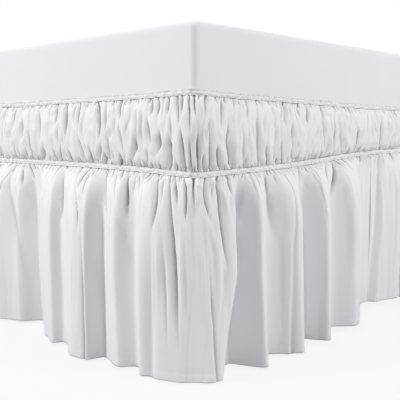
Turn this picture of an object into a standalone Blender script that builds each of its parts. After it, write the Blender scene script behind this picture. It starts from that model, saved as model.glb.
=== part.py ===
"""A gathered bed skirt with two elastic bands, round the plain bed that it fits.

Metres, with +Z up. The origin is on the floor under the middle of the bed. The bed's length runs along Y,
with its foot end at -Y. The skirt is a closed loop: a narrow elastic band grips the mattress, a puffed and
gathered panel hangs from it to a second elastic band, and a long gathered drop hangs from that one almost to
the floor.

Places round the loop are measured on the bed's outline from its front corner (+X, -Y), first up the side
that faces +X, then round the head, the other side and the foot. A reach is a distance out from the bed's
faces.
"""

from typing import NamedTuple

import bpy
import numpy as np

# The bed.
BED_WIDTH = 0.99
BED_LENGTH = 1.90
BED_TOP = 0.6745
MATTRESS_THICKNESS = 0.30
MATTRESS_EDGE = 0.012
BASE_THICKNESS = 0.040
BASE_INSET = 0.045
BASE_EDGE = 0.004
LEG_WIDTH = 0.050
LEG_INSET = 0.120
LEG_EDGE = 0.003
SEAT_GAP = 0.0003

# The skirt's cloth and its two elastic bands.
CLOTH = 0.002
BAND_THICKNESS = 0.003
TOP_BAND_HEIGHT = 0.012
MIDDLE_BAND_HEIGHT = 0.008
SEAM_GAP = 0.0003
SEAM_REACH = SEAT_GAP + BAND_THICKNESS

# The puffed panel between the bands.
PUFF = 0.014
PUFF_GATHER = 0.016

# The drop below the middle band.
HEM_REACH = 0.045
SHOULDER_SHARE = 0.85
SHOULDER_DEPTH = 0.10
FOLD_DEPTH = 0.16
FOLD_GROWTH = 1.5
LEAN_DEPTH = 0.50
DROP_GATHER = 0.017
GATHER_DEPTH = 0.22
DROP_ROWS = (0.0, 0.05, 0.15, 0.44, 1.0)

# How closely the loop is divided: columns are finer towards the bed's corners.
COLUMN_STEP = 0.0185
BAND_STEP = 0.060
CORNER_STEP = 0.0055
CORNER_GROWTH = 1.28
GATHER_STEPS = (0.0, 0.85, 0.40)
GATHER_SHARES = (0.5, 1.0)
GATHER_LIFTS = (0.0, 0.25)

# Folds that no row gives are spread at this pitch, each shifted by a share of it, within these reaches.
FOLD_PITCH = 0.118
FOLD_SHIFT = 0.3
CREST_REACHES = (0.056, 0.094)
VALLEY_REACHES = (0.014, 0.044)
CORNER_VALLEY_REACH = 0.022
UNEVEN_SEED = 11
CREASE_ANGLE = 24.0

CLOTH_WHITE = (0.83, 0.83, 0.86)
CLOTH_ROUGHNESS = 0.80
MATTRESS_WHITE = (0.80, 0.80, 0.83)
MATTRESS_ROUGHNESS = 0.85
WOOD_BROWN = (0.42, 0.28, 0.16)
WOOD_ROUGHNESS = 0.55

SIDE_LENGTHS = np.array([BED_LENGTH, BED_WIDTH, BED_LENGTH, BED_WIDTH])
SIDE_STARTS = np.concatenate([[0.0], np.cumsum(SIDE_LENGTHS)[:-1]])
LOOP_LENGTH = SIDE_LENGTHS.sum()
SIDE_OUTWARD = np.array([(1.0, 0.0), (0.0, 1.0), (-1.0, 0.0), (0.0, -1.0)])
SIDE_ONWARD = np.array([(0.0, 1.0), (-1.0, 0.0), (0.0, -1.0), (1.0, 0.0)])


class Level(NamedTuple):
    """Heights of the uneven elastic lines and of the hem at one place round the loop."""

    place: float
    band_top: float
    middle_band: float
    hem: float


class PuffRow(NamedTuple):
    """One row of the puffed panel: how far down it is, how full it stands out, and the share of its gathers
    that have moved on by a column."""

    down: float
    fullness: float
    moved: float


class Wave(NamedTuple):
    """A wave round the loop: how often it repeats, the angle at which it starts, and its size."""

    repeats: int
    start: float
    size: float


class Turn(NamedTuple):
    """One ridge or valley of the hem: how far along it is from the front corner and how far out. The lean is
    how much further along it lies above the middle of the drop, and the draw how much further still at the
    band, where the folds begin."""

    along: float
    reach: float
    lean: float
    draw: float


LEVELS = (
    Level(0.000, 0.5512, 0.3945, 0.004),
    Level(0.125, 0.5468, 0.3955, 0.006),
    Level(0.260, 0.5442, 0.3980, 0.010),
    Level(0.700, 0.5343, 0.4150, 0.021),
    Level(1.200, 0.5400, 0.4040, 0.010),
    Level(1.900, 0.5480, 0.3970, 0.007),
    Level(2.395, 0.5390, 0.4020, 0.010),
    Level(2.890, 0.5490, 0.3965, 0.007),
    Level(3.500, 0.5410, 0.4050, 0.012),
    Level(4.200, 0.5380, 0.4020, 0.010),
    Level(4.790, 0.5470, 0.3955, 0.007),
    Level(5.170, 0.5394, 0.3970, 0.008),
    Level(5.360, 0.5430, 0.3985, 0.007),
    Level(5.600, 0.5466, 0.3990, 0.005),
)
PUFF_ROWS = (
    PuffRow(0.00, 0.00, 0.0),
    PuffRow(0.14, 0.66, 0.0),
    PuffRow(0.45, 1.00, 0.3),
    PuffRow(0.80, 0.84, 0.5),
    PuffRow(1.00, 0.00, 0.5),
)
SWELL_WAVES = (Wave(37, 0.7, 0.0040), Wave(59, 2.1, 0.0024))
MOVE_WAVES = (Wave(83, 1.3, 1.0),)
SIDE_TURNS = (
    Turn(0.024, 0.042, 0.041, 0.000),
    Turn(0.088, -0.014, 0.022, 0.000),
    Turn(0.133, 0.068, 0.000, 0.000),
    Turn(0.178, 0.026, 0.000, 0.000),
    Turn(0.243, 0.075, 0.006, 0.000),
    Turn(0.305, 0.028, 0.006, 0.000),
    Turn(0.340, 0.079, 0.010, 0.000),
    Turn(0.410, 0.033, 0.010, 0.000),
    Turn(0.468, 0.076, 0.010, 0.000),
    Turn(0.638, -0.024, 0.010, 0.000),
)
FOOT_TURNS = (
    Turn(0.084, 0.056, 0.010, 0.000),
    Turn(0.121, 0.034, 0.010, 0.000),
    Turn(0.151, 0.055, 0.004, 0.010),
    Turn(0.180, 0.045, 0.004, 0.025),
    Turn(0.253, 0.099, 0.006, 0.060),
    Turn(0.325, 0.050, 0.006, 0.055),
    Turn(0.390, 0.071, 0.004, 0.045),
    Turn(0.520, -0.006, 0.004, 0.030),
)


def through(place, knots, values, flat):
    """Smooth curve round the loop through knots: a cubic between two knots, level at each one where flat is
    set, and otherwise with the slope between its neighbours."""
    knots = np.concatenate([[knots[-1] - LOOP_LENGTH], knots, [knots[0] + LOOP_LENGTH]])
    values = np.concatenate([[values[-1]], values, [values[0]]])
    slopes = np.zeros_like(values)
    if not flat:
        slopes[1:-1] = (values[2:] - values[:-2]) / (knots[2:] - knots[:-2])
        slopes[0] = slopes[-2]
        slopes[-1] = slopes[1]
    place = np.mod(np.asarray(place) - knots[1], LOOP_LENGTH) + knots[1]
    left = np.clip(np.searchsorted(knots, place, side="right") - 1, 0, len(knots) - 2)
    span = knots[left + 1] - knots[left]
    t = (place - knots[left]) / span
    rise = values[left + 1] - values[left]
    return (
        values[left]
        + rise * t * t * (3.0 - 2.0 * t)
        + slopes[left] * span * t * (1.0 - t) ** 2
        - slopes[left + 1] * span * t * t * (1.0 - t)
    )


def level(place, name):
    """Height of one of the skirt's uneven lines."""
    knots = np.array([row.place for row in LEVELS])
    heights = np.array([getattr(row, name) for row in LEVELS])
    return through(place, knots, heights, flat=False)


def waves_at(place, waves):
    """Sum of the waves at each place."""
    turn = 2 * np.pi * place / LOOP_LENGTH
    return sum(wave.size * np.sin(wave.repeats * turn + wave.start) for wave in waves)


def half_path(half_side, reach):
    """Length from a side's middle to the middle of its corner, on the rounded outline at this reach."""
    return half_side - MATTRESS_EDGE + (MATTRESS_EDGE + reach) * np.pi / 4


def on_loop(place, reach):
    """Plan position and outward direction on the rounded outline at this reach. Each half side is stretched
    evenly over its straight run and its half of the corner, so folds fan out round a corner."""
    place = np.mod(place, LOOP_LENGTH)
    side = np.clip(np.searchsorted(SIDE_STARTS, place, side="right") - 1, 0, 3)
    half = SIDE_LENGTHS[side] / 2
    from_middle = place - SIDE_STARTS[side] - half
    path = from_middle / half * half_path(half, reach)
    straight = half - MATTRESS_EDGE
    radius = MATTRESS_EDGE + reach
    angle = np.clip(np.abs(path) - straight, 0.0, None) / radius
    toward = np.sign(path)
    along = toward * (np.minimum(np.abs(path), straight) + radius * np.sin(angle))
    out = radius * np.cos(angle) - MATTRESS_EDGE + SIDE_LENGTHS[(side + 1) % 4] / 2
    outward = SIDE_OUTWARD[side]
    onward = SIDE_ONWARD[side]
    position = outward * out[..., None] + onward * along[..., None]
    normal = outward * np.cos(angle)[..., None] + onward * (toward * np.sin(angle))[..., None]
    return position, normal


def hem_place(side_length, along):
    """Place round the loop, counted from the front corner, of a point this far along a side of the hem."""
    half = side_length / 2
    return half * (1.0 - (half - along) / half_path(half, HEM_REACH))


def spread_folds(start, end, uneven):
    """Uneven ridges and valleys between two valleys of the hem."""
    count = round((end - start) / FOLD_PITCH)
    pitch = (end - start) / count
    steps = np.arange(2 * count - 1)
    places = start + pitch / 2 * (steps + 1 + uneven.uniform(-FOLD_SHIFT, FOLD_SHIFT, len(steps)))
    crests = uneven.uniform(*CREST_REACHES, len(steps))
    valleys = uneven.uniform(*VALLEY_REACHES, len(steps))
    return places, np.where(steps % 2 == 0, crests, valleys)


def fold_growth(down):
    """Share of their full depth that the folds have this far down the drop."""
    return 1.0 - np.exp(-((down / FOLD_DEPTH) ** FOLD_GROWTH))


def fold_profile(down):
    """Places and reaches of the folds' ridges and valleys round the whole loop, this far down the drop."""
    uneven = np.random.default_rng(UNEVEN_SEED)
    leaning = np.clip((1.0 - down) / LEAN_DEPTH, 0.0, 1.0)
    drawing = 1.0 - fold_growth(down)
    places = [0.0]
    reaches = [CORNER_VALLEY_REACH]
    for turns, side_length, way in ((SIDE_TURNS, BED_LENGTH, 1.0), (FOOT_TURNS, BED_WIDTH, -1.0)):
        for turn in turns:
            shift = turn.lean * leaning + turn.draw * drawing
            places.append(way * (hem_place(side_length, turn.along) + shift))
            reaches.append(turn.reach)
    corners = list(SIDE_STARTS[1:])
    stops = [max(places)] + corners + [min(places) + LOOP_LENGTH]
    for start, end in zip(stops[:-1], stops[1:]):
        more_places, more_reaches = spread_folds(start, end, uneven)
        places.extend(more_places)
        reaches.extend(more_reaches)
    places.extend(corners)
    reaches.extend([CORNER_VALLEY_REACH] * len(corners))
    places = np.mod(places, LOOP_LENGTH)
    order = np.argsort(places)
    return places[order], np.array(reaches)[order]


def loop_columns(step):
    """Places of the columns: a widening series out of each corner, then even steps."""
    steps = int(np.log(COLUMN_STEP / CORNER_STEP) / np.log(CORNER_GROWTH)) + 1
    near = np.cumsum(CORNER_STEP * CORNER_GROWTH ** np.arange(steps))
    columns = []
    for start, length in zip(SIDE_STARTS, SIDE_LENGTHS):
        count = len(GATHER_STEPS) * round((length - 2 * near[-1]) / step / len(GATHER_STEPS))
        middle = np.linspace(near[-1], length - near[-1], count + 1)
        columns.append(start + np.concatenate([[0.0], near, middle[1:-1], (length - near)[::-1]]))
    return np.concatenate(columns)


def gather_sizes(columns):
    """Size of the gather at each column: a hollow, a ridge and its shoulder in turn, all uneven, and smaller
    where columns are close."""
    uneven = np.random.default_rng(UNEVEN_SEED + 1)
    ahead = np.mod(np.roll(columns, -1) - columns, LOOP_LENGTH)
    steps = np.resize(GATHER_STEPS, len(columns))
    sizes = steps * uneven.uniform(*GATHER_SHARES, len(columns)) + uneven.uniform(*GATHER_LIFTS, len(columns))
    return sizes * np.clip(ahead / COLUMN_STEP, 0.0, 1.0)


def add_finish(obj, colour, roughness):
    """Gives the object a plain Principled finish of its own."""
    finish = bpy.data.materials.new(obj.name)
    finish.use_nodes = True
    shader = finish.node_tree.nodes["Principled BSDF"]
    shader.inputs["Base Color"].default_value = (*colour, 1.0)
    shader.inputs["Roughness"].default_value = roughness
    obj.data.materials.append(finish)


def add_block(name, size, centre, edge, segments, collection):
    """A box with rounded edges."""
    bpy.ops.mesh.primitive_cube_add(size=1.0, location=centre)
    block = bpy.context.object
    block.name = name
    block.scale = size
    bpy.ops.object.transform_apply(location=False, rotation=False, scale=True)
    bevel = block.modifiers.new("Rounded edges", "BEVEL")
    bevel.width = edge
    bevel.segments = segments
    for other in list(block.users_collection):
        other.objects.unlink(block)
    collection.objects.link(block)
    return block


def add_sheet(name, rows, thickness, collection):
    """A closed loop of cloth from rows of points, top row first, thickened towards the bed."""
    points = np.concatenate(rows)
    count = len(rows[0])
    top = np.arange(count * (len(rows) - 1)).reshape(-1, count)
    top_next = np.roll(top, -1, axis=1)
    quads = np.stack([top, top + count, top_next + count, top_next], axis=-1).reshape(-1, 4)
    mesh = bpy.data.meshes.new(name)
    mesh.from_pydata(points.tolist(), [], quads.tolist())
    mesh.shade_smooth()
    mesh.set_sharp_from_angle(angle=np.radians(CREASE_ANGLE))
    sheet = bpy.data.objects.new(name, mesh)
    collection.objects.link(sheet)
    solidify = sheet.modifiers.new("Cloth thickness", "SOLIDIFY")
    solidify.thickness = thickness
    solidify.offset = -1.0
    return sheet


def sheet_row(columns, reach, extra, height):
    """One row of a sheet: the outline at this reach, moved out by extra and set at this height."""
    position, normal = on_loop(columns, reach)
    plan = position + normal * np.broadcast_to(extra, columns.shape)[:, None]
    return np.column_stack([plan, np.broadcast_to(height, columns.shape)])


def add_band(name, top, height, collection):
    """An elastic band: a narrow flat loop that grips the bed, with its top edge at the heights given."""
    columns = loop_columns(BAND_STEP)
    heights = top(columns)
    rows = [
        sheet_row(columns, SEAM_REACH, 0.0, heights),
        sheet_row(columns, SEAM_REACH, 0.0, heights - height),
    ]
    return add_sheet(name, rows, BAND_THICKNESS, collection)


def top_of_band(place):
    """Height of the top band's upper edge."""
    return level(place, "band_top")


def top_of_middle_band(place):
    """Height of the middle band's upper edge."""
    return level(place, "middle_band") + MIDDLE_BAND_HEIGHT / 2


def add_upper_panel(collection):
    """The puffed panel, gathered into both bands. Here and there its gathers move on a column lower down."""
    columns = loop_columns(COLUMN_STEP)
    ridges = gather_sizes(columns)
    top = top_of_band(columns) - TOP_BAND_HEIGHT - SEAM_GAP
    bottom = top_of_middle_band(columns) + SEAM_GAP
    swell = waves_at(columns, SWELL_WAVES)
    rows = []
    for row in PUFF_ROWS:
        moved = waves_at(columns, MOVE_WAVES) < 2.0 * row.moved - 1.0
        gather = PUFF_GATHER * np.where(moved, np.roll(ridges, 1), ridges)
        extra = row.fullness * (swell + gather)
        height = top + (bottom - top) * row.down
        rows.append(sheet_row(columns, SEAM_REACH + PUFF * row.fullness, extra, height))
    return add_sheet("upper_panel", rows, CLOTH, collection)


def add_skirt_panel(collection):
    """The gathered drop. It stands out in fine gathers below the band, then hangs nearly straight down in
    broad folds, which reach their full depth well above the hem. Its columns lean as the folds do."""
    columns = loop_columns(COLUMN_STEP)
    ridges = gather_sizes(columns)
    hem_turns, _ = fold_profile(1.0)
    rows = []
    for down in DROP_ROWS:
        turns, reaches = fold_profile(down)
        leaning = np.interp(columns, np.append(hem_turns, LOOP_LENGTH), np.append(turns, LOOP_LENGTH))
        top = level(leaning, "middle_band") - MIDDLE_BAND_HEIGHT / 2 - SEAM_GAP
        bottom = level(leaning, "hem")
        shoulder = 1.0 - np.exp(-down / SHOULDER_DEPTH)
        share = SHOULDER_SHARE * shoulder + (1.0 - SHOULDER_SHARE) * down
        flare = SEAM_REACH + (HEM_REACH - SEAM_REACH) * share
        folds = through(leaning, turns, reaches, flat=True) - HEM_REACH
        gather = DROP_GATHER * shoulder * np.exp(-((down / GATHER_DEPTH) ** 2))
        extra = fold_growth(down) * folds + gather * ridges
        height = top + (bottom - top) * down
        rows.append(sheet_row(leaning, flare, extra, height))
    return add_sheet("skirt_panel", rows, CLOTH, collection)


def main():
    """Builds the bed, then the skirt's pieces from the top down."""
    for obj in list(bpy.data.objects):
        bpy.data.objects.remove(obj, do_unlink=True)
    collection = bpy.data.collections.new("Bed skirt and bed")
    bpy.context.scene.collection.children.link(collection)

    mattress_bottom = BED_TOP - MATTRESS_THICKNESS
    mattress = add_block(
        "mattress",
        (BED_WIDTH, BED_LENGTH, MATTRESS_THICKNESS),
        (0.0, 0.0, mattress_bottom + MATTRESS_THICKNESS / 2),
        MATTRESS_EDGE,
        3,
        collection,
    )
    add_finish(mattress, MATTRESS_WHITE, MATTRESS_ROUGHNESS)

    base_top = mattress_bottom - SEAT_GAP
    base = add_block(
        "bed_base",
        (BED_WIDTH - 2 * BASE_INSET, BED_LENGTH - 2 * BASE_INSET, BASE_THICKNESS),
        (0.0, 0.0, base_top - BASE_THICKNESS / 2),
        BASE_EDGE,
        1,
        collection,
    )
    add_finish(base, WOOD_BROWN, WOOD_ROUGHNESS)

    leg_height = base_top - BASE_THICKNESS - SEAT_GAP
    for end, along in (("foot", -1.0), ("head", 1.0)):
        for side, across in (("left", -1.0), ("right", 1.0)):
            centre = (
                across * (BED_WIDTH / 2 - LEG_INSET),
                along * (BED_LENGTH / 2 - LEG_INSET),
                leg_height / 2,
            )
            size = (LEG_WIDTH, LEG_WIDTH, leg_height)
            leg = add_block(f"leg_{end}_{side}", size, centre, LEG_EDGE, 1, collection)
            add_finish(leg, WOOD_BROWN, WOOD_ROUGHNESS)

    for piece in (
        add_band("top_band", top_of_band, TOP_BAND_HEIGHT, collection),
        add_upper_panel(collection),
        add_band("middle_band", top_of_middle_band, MIDDLE_BAND_HEIGHT, collection),
        add_skirt_panel(collection),
    ):
        add_finish(piece, CLOTH_WHITE, CLOTH_ROUGHNESS)


if __name__ == "__main__":
    main()
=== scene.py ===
"""A white gathered bed skirt round the plain bed that it fits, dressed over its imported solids.

Metres, with +Z up and the foot end at -Y. Places run round the loop of the skirt from the bed's front
corner (+X, -Y): up the side that faces +X, round the head, down the other side and along the foot. A place
may also be written as less than zero, and then it is counted from the front corner back along the foot. A
reach is a distance out from the bed's faces, and "below" is a distance under an elastic's edge.
"""

import logging
from dataclasses import dataclass
from enum import Enum
from functools import cached_property
from typing import Iterable, NamedTuple

import bpy
import numpy as np
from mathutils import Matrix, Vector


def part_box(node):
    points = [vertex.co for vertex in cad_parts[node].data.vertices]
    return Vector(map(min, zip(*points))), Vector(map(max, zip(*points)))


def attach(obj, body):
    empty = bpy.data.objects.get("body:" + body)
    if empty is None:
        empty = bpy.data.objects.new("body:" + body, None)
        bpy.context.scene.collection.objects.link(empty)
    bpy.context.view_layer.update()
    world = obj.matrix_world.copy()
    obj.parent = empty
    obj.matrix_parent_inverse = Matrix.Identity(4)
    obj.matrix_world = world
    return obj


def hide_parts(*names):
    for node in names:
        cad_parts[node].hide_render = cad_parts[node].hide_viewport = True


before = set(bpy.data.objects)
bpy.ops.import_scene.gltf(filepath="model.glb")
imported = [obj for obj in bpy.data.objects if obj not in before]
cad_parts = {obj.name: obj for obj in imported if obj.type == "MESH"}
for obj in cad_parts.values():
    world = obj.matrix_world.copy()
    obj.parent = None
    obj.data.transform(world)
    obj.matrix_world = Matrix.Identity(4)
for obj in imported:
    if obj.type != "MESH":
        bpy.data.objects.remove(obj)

Array = np.ndarray
Colour = tuple[float, float, float]
Point = tuple[float, float, float]
LOG = logging.getLogger("bed_skirt")
BODY = "root"
CLOTH_SLOT = "skirt_cloth"
ELASTIC_SLOT = "elastic_band"
MATTRESS_SLOT = "mattress_cover"
# Name of the vertex mask of narrow creases, which the cloth finishes darken as painted shade.
PAINTED_SHADE_ATTRIBUTE = "painted_shade"
LATTICE_CELLS = 64


# ---------------------------------------------------------------------------------------------------------
# Curves and noise


def smooth_step(share: Array) -> Array:
    """The soft step 3t^2 - 2t^3, with t held between 0 and 1.

    Args:
        share: Values of t.

    Returns:
        Values from 0 to 1, level at both ends.
    """
    held = np.clip(share, 0.0, 1.0)
    return held * held * (3.0 - 2.0 * held)


def round_loop(place: Array, knots: Array, values: Array, length: float, level: bool) -> Array:
    """Smooth closed curve through knots: between two knots, the cubic with the slopes given at both.

    Args:
        place: Places at which the curve is read.
        knots: Places of the knots, in rising order.
        values: The curve's value at each knot.
        length: Length of the loop, after which the curve repeats.
        level: Whether the curve is level at each knot, and not sloped as the line between its neighbours.

    Returns:
        The curve's value at each place.
    """
    knots = np.concatenate([[knots[-1] - length], knots, [knots[0] + length]])
    values = np.concatenate([[values[-1]], values, [values[0]]])
    slopes = np.zeros_like(values)
    if not level:
        slopes[1:-1] = (values[2:] - values[:-2]) / (knots[2:] - knots[:-2])
        slopes[0], slopes[-1] = slopes[-2], slopes[1]
    place = np.mod(place - knots[1], length) + knots[1]
    left = np.clip(np.searchsorted(knots, place, side="right") - 1, 0, len(knots) - 2)
    span = knots[left + 1] - knots[left]
    t = (place - knots[left]) / span
    rise = values[left + 1] - values[left]
    return (
        values[left]
        + rise * t * t * (3.0 - 2.0 * t)
        + slopes[left] * span * t * (1.0 - t) ** 2
        - slopes[left + 1] * span * t * t * (1.0 - t)
    )


def fade(distance: Array, depth: float) -> Array:
    """The bell exp(-(distance/depth)^2): 1 at no distance, and next to nothing two depths away."""
    return np.exp(-((distance / depth) ** 2))


def between(limits: tuple[float, float], share: Array) -> Array:
    """Values at these shares of the way from the first limit to the second."""
    return limits[0] + (limits[1] - limits[0]) * share


def lattice_noise(across: Array, along: Array, seed: int, around: int = LATTICE_CELLS) -> Array:
    """Soft noise: random values on a unit lattice, joined both ways by the soft step.

    Args:
        across: First coordinate, in cells. It repeats after as many cells as around says.
        along: Second coordinate, in cells. It repeats after LATTICE_CELLS.
        seed: Seed of the random values.
        around: Cells after which the noise repeats across.

    Returns:
        Values between -1 and 1.
    """
    lattice = np.random.default_rng(seed).uniform(-1.0, 1.0, (around, LATTICE_CELLS))
    column, row = np.floor(across).astype(int), np.floor(along).astype(int)
    s, t = smooth_step(across - column), smooth_step(along - row)
    left, right = np.mod(column, around), np.mod(column + 1, around)
    low, high = np.mod(row, LATTICE_CELLS), np.mod(row + 1, LATTICE_CELLS)
    below = lattice[left, low] * (1.0 - s) + lattice[right, low] * s
    above = lattice[left, high] * (1.0 - s) + lattice[right, high] * s
    return below * (1.0 - t) + above * t


# ---------------------------------------------------------------------------------------------------------
# The bed's outline and the skirt's lines


@dataclass(frozen=True)
class BedOutline:
    """The mattress seen from above, a rectangle with small round corners, and the outlines further out."""

    width: float
    length: float
    edge: float

    @classmethod
    def of_node(cls, node: str, edge: float) -> "BedOutline":
        """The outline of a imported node's box.

        Args:
            node: Name of the node.
            edge: Radius of its rounded edges.

        Returns:
            The outline.
        """
        low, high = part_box(node)
        return cls(high.x - low.x, high.y - low.y, edge)

    @cached_property
    def sides(self) -> Array:
        """Lengths of the four sides, from the front corner on."""
        return np.array([self.length, self.width, self.length, self.width])

    @cached_property
    def starts(self) -> Array:
        """Places at which the four sides start."""
        return np.concatenate([[0.0], np.cumsum(self.sides)[:-1]])

    @cached_property
    def loop(self) -> float:
        """Length of the whole loop."""
        return float(self.sides.sum())

    def half_path(self, half_side: Array, reach: Array) -> Array:
        """Length from a side's middle to the middle of its corner: the straight run and an eighth of a turn.

        Args:
            half_side: Half of the side's length.
            reach: How far out the outline lies.

        Returns:
            The length on that outline.
        """
        return half_side - self.edge + (self.edge + reach) * np.pi / 4

    def locate(self, place: Array, reach: Array) -> tuple[Array, Array]:
        """Points on the rounded outline at this reach. Each half side is stretched evenly over its straight
        run and its half of the corner, so folds fan out round a corner.

        Args:
            place: Places round the loop.
            reach: How far out the outline lies at each.

        Returns:
            Plan positions and outward directions, with two numbers for each place.
        """
        outward_of = np.array([(1.0, 0.0), (0.0, 1.0), (-1.0, 0.0), (0.0, -1.0)])
        onward_of = np.array([(0.0, 1.0), (-1.0, 0.0), (0.0, -1.0), (1.0, 0.0)])
        place = np.mod(place, self.loop)
        side = np.clip(np.searchsorted(self.starts, place, side="right") - 1, 0, 3)
        half = self.sides[side] / 2
        path = (place - self.starts[side] - half) / half * self.half_path(half, reach)
        straight = half - self.edge
        radius = self.edge + reach
        angle = np.clip(np.abs(path) - straight, 0.0, None) / radius
        toward = np.sign(path)
        along = toward * (np.minimum(np.abs(path), straight) + radius * np.sin(angle))
        out = radius * np.cos(angle) - self.edge + self.sides[(side + 1) % 4] / 2
        outward, onward = outward_of[side], onward_of[side]
        position = outward * out[..., None] + onward * along[..., None]
        normal = outward * np.cos(angle)[..., None] + onward * (toward * np.sin(angle))[..., None]
        return position, normal

    def points(self, place: Array, reach: Array | float, relief: Array, height: Array) -> Array:
        """Points that stand out by a relief from the outline at this reach.

        Args:
            place: Places round the loop, on a grid.
            reach: How far out the outline lies at each.
            relief: How far each point stands out from it.
            height: The points' heights.

        Returns:
            The points, with three numbers for each place.
        """
        position, normal = self.locate(place, np.broadcast_to(reach, place.shape))
        return np.concatenate([position + normal * relief[..., None], height[..., None]], axis=-1)

    def hem_place(self, half_side: float, along: float, reach: float) -> float:
        """Place of a point this far from the front corner, measured along a side of the hem."""
        return half_side * (1.0 - (half_side - along) / self.half_path(half_side, reach))


class Line(Enum):
    """The skirt's uneven lines, each a column of the table of levels."""

    BAND_TOP = "band_top"
    MIDDLE_BAND = "middle_band"
    HEM = "hem"


class Level(NamedTuple):
    """Heights of the skirt's lines at one place."""

    place: float
    band_top: float
    middle_band: float
    hem: float


LEVELS = (
    Level(0.000, 0.5512, 0.3933, 0.004),
    Level(0.125, 0.5468, 0.3943, 0.006),
    Level(0.260, 0.5442, 0.3968, 0.010),
    Level(0.700, 0.5343, 0.4138, 0.021),
    Level(1.200, 0.5400, 0.4028, 0.010),
    Level(1.900, 0.5480, 0.3958, 0.007),
    Level(2.395, 0.5390, 0.4008, 0.010),
    Level(2.890, 0.5490, 0.3953, 0.007),
    Level(3.500, 0.5410, 0.4038, 0.012),
    Level(4.200, 0.5380, 0.4008, 0.010),
    Level(4.790, 0.5470, 0.3943, 0.007),
    Level(5.170, 0.5394, 0.3958, 0.008),
    Level(5.360, 0.5430, 0.3973, 0.007),
    Level(5.600, 0.5466, 0.3978, 0.005),
)


@dataclass(frozen=True)
class SkirtPlan:
    """What every piece of the skirt shares: the outline, the uneven lines and the sizes of the bands."""

    outline: BedOutline
    seam_reach: float = 0.0033
    top_band: float = 0.012
    middle_band: float = 0.0105
    seam_gap: float = 0.0003
    hem_mean: float = 0.008

    def height(self, place: Array, line: Line) -> Array:
        """Height of one of the skirt's lines.

        Args:
            place: Places round the loop.
            line: Which line.

        Returns:
            Heights above the floor.
        """
        knots = np.array([row.place for row in LEVELS])
        heights = np.array([getattr(row, line.value) for row in LEVELS])
        return round_loop(place, knots, heights, self.outline.loop, level=False)


# ---------------------------------------------------------------------------------------------------------
# Gathers and creases


HAND_START = -0.60
HAND_END = 0.80
HAND_FADE = 0.10
FOOT_SPAN = 0.99


def signed_place(place: Array, loop: float) -> Array:
    """The place as a number below zero along the foot, which is the last stretch of the loop."""
    wrapped = np.mod(place, loop)
    return np.where(wrapped > loop - FOOT_SPAN, wrapped - loop, wrapped)


def by_hand(place: Array, loop: float) -> Array:
    """1 round the front corner, where the main creases are listed one by one, falling softly to 0 past it."""
    signed = signed_place(place, loop)
    return smooth_step((signed - HAND_START) / HAND_FADE) * smooth_step((HAND_END - signed) / HAND_FADE)


RUN_OUT = 0.55


class Held(Enum):
    """Which ends of a crease are held at a band. The others run out in the cloth."""

    TOP = (True, False)
    LOW = (False, True)
    NONE = (False, False)

    def share(self, t: Array) -> Array:
        """A share that falls softly to nothing towards each end that isn't held.

        Args:
            t: 0 at the upper end and 1 at the lower one.

        Returns:
            Values from 0 to 1.
        """
        top, low = self.value
        upper = 1.0 if top else smooth_step(t / RUN_OUT)
        lower = 1.0 if low else smooth_step((1.0 - t) / RUN_OUT)
        return np.ones_like(t) * upper * lower


class Crease(NamedTuple):
    """One crease: where it starts and ends, how far it bows sideways at half its length, its half width, its
    depth, how much gentler its slope is on one side, and which of its ends are held. A negative depth makes a
    ridge, and a negative lean is gentler on the side towards smaller places."""

    place_top: float
    height_top: float
    place_low: float
    height_low: float
    bow: float
    width: float
    depth: float
    lean: float
    held: Held


CREASE_POWER = 1.5
CREASE_REACH = 3.2
NARROWEST = 1.1
FREE_END_WIDTH = 0.6


def crease_relief(creases: Iterable[Crease], places: Array, height: Array, loop: float, step: float) -> Array:
    """How far the creases move the cloth: each is a sharp trough of the form exp(-|u|^1.5), where u is the
    distance from its bowed line in half widths. It grows narrow and shallow towards an end that isn't held.

    Args:
        creases: The creases.
        places: Places of the columns, in rising order.
        height: Heights above the floor on a grid of rows and columns.
        loop: Length of the loop, after which the places repeat.
        step: Width of the cloth's narrowest columns, which no crease is much narrower than.

    Returns:
        Distances outward, mostly below zero.
    """
    total = np.zeros(height.shape)
    middle = 0.5 * (places[0] + places[-1])
    for crease in creases:
        turns = loop * round((middle - crease.place_top) / loop)
        width = max(crease.width, NARROWEST * step)
        reach = CREASE_REACH * width * (1.0 + abs(crease.lean)) + abs(crease.bow)
        ends = sorted((crease.place_top + turns, crease.place_low + turns))
        near = slice(*np.searchsorted(places, (ends[0] - reach, ends[1] + reach)))
        t = (crease.height_top - height[:, near]) / (crease.height_top - crease.height_low)
        down = np.clip(t, 0.0, 1.0)
        line = crease.place_top + turns + (crease.place_low - crease.place_top) * down
        offset = places[near] - line - crease.bow * 4.0 * down * (1.0 - down)
        gentle = 1.0 + np.abs(crease.lean) * (np.sign(offset) == np.sign(crease.lean))
        kept = crease.held.share(t)
        u = np.abs(offset) / (width * gentle * between((FREE_END_WIDTH, 1.0), kept))
        total[:, near] -= crease.depth * np.exp(-(u**CREASE_POWER)) * kept
    return total


class Tuck(NamedTuple):
    """One size of the tucks that an elastic draws into cloth: the mean distance between two, the least and
    the greatest depth, half width and run, and the share of the depth that is kept where the main creases
    are listed one by one."""

    pitch: float
    depths: tuple[float, float]
    widths: tuple[float, float]
    runs: tuple[float, float]
    kept: float


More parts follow.
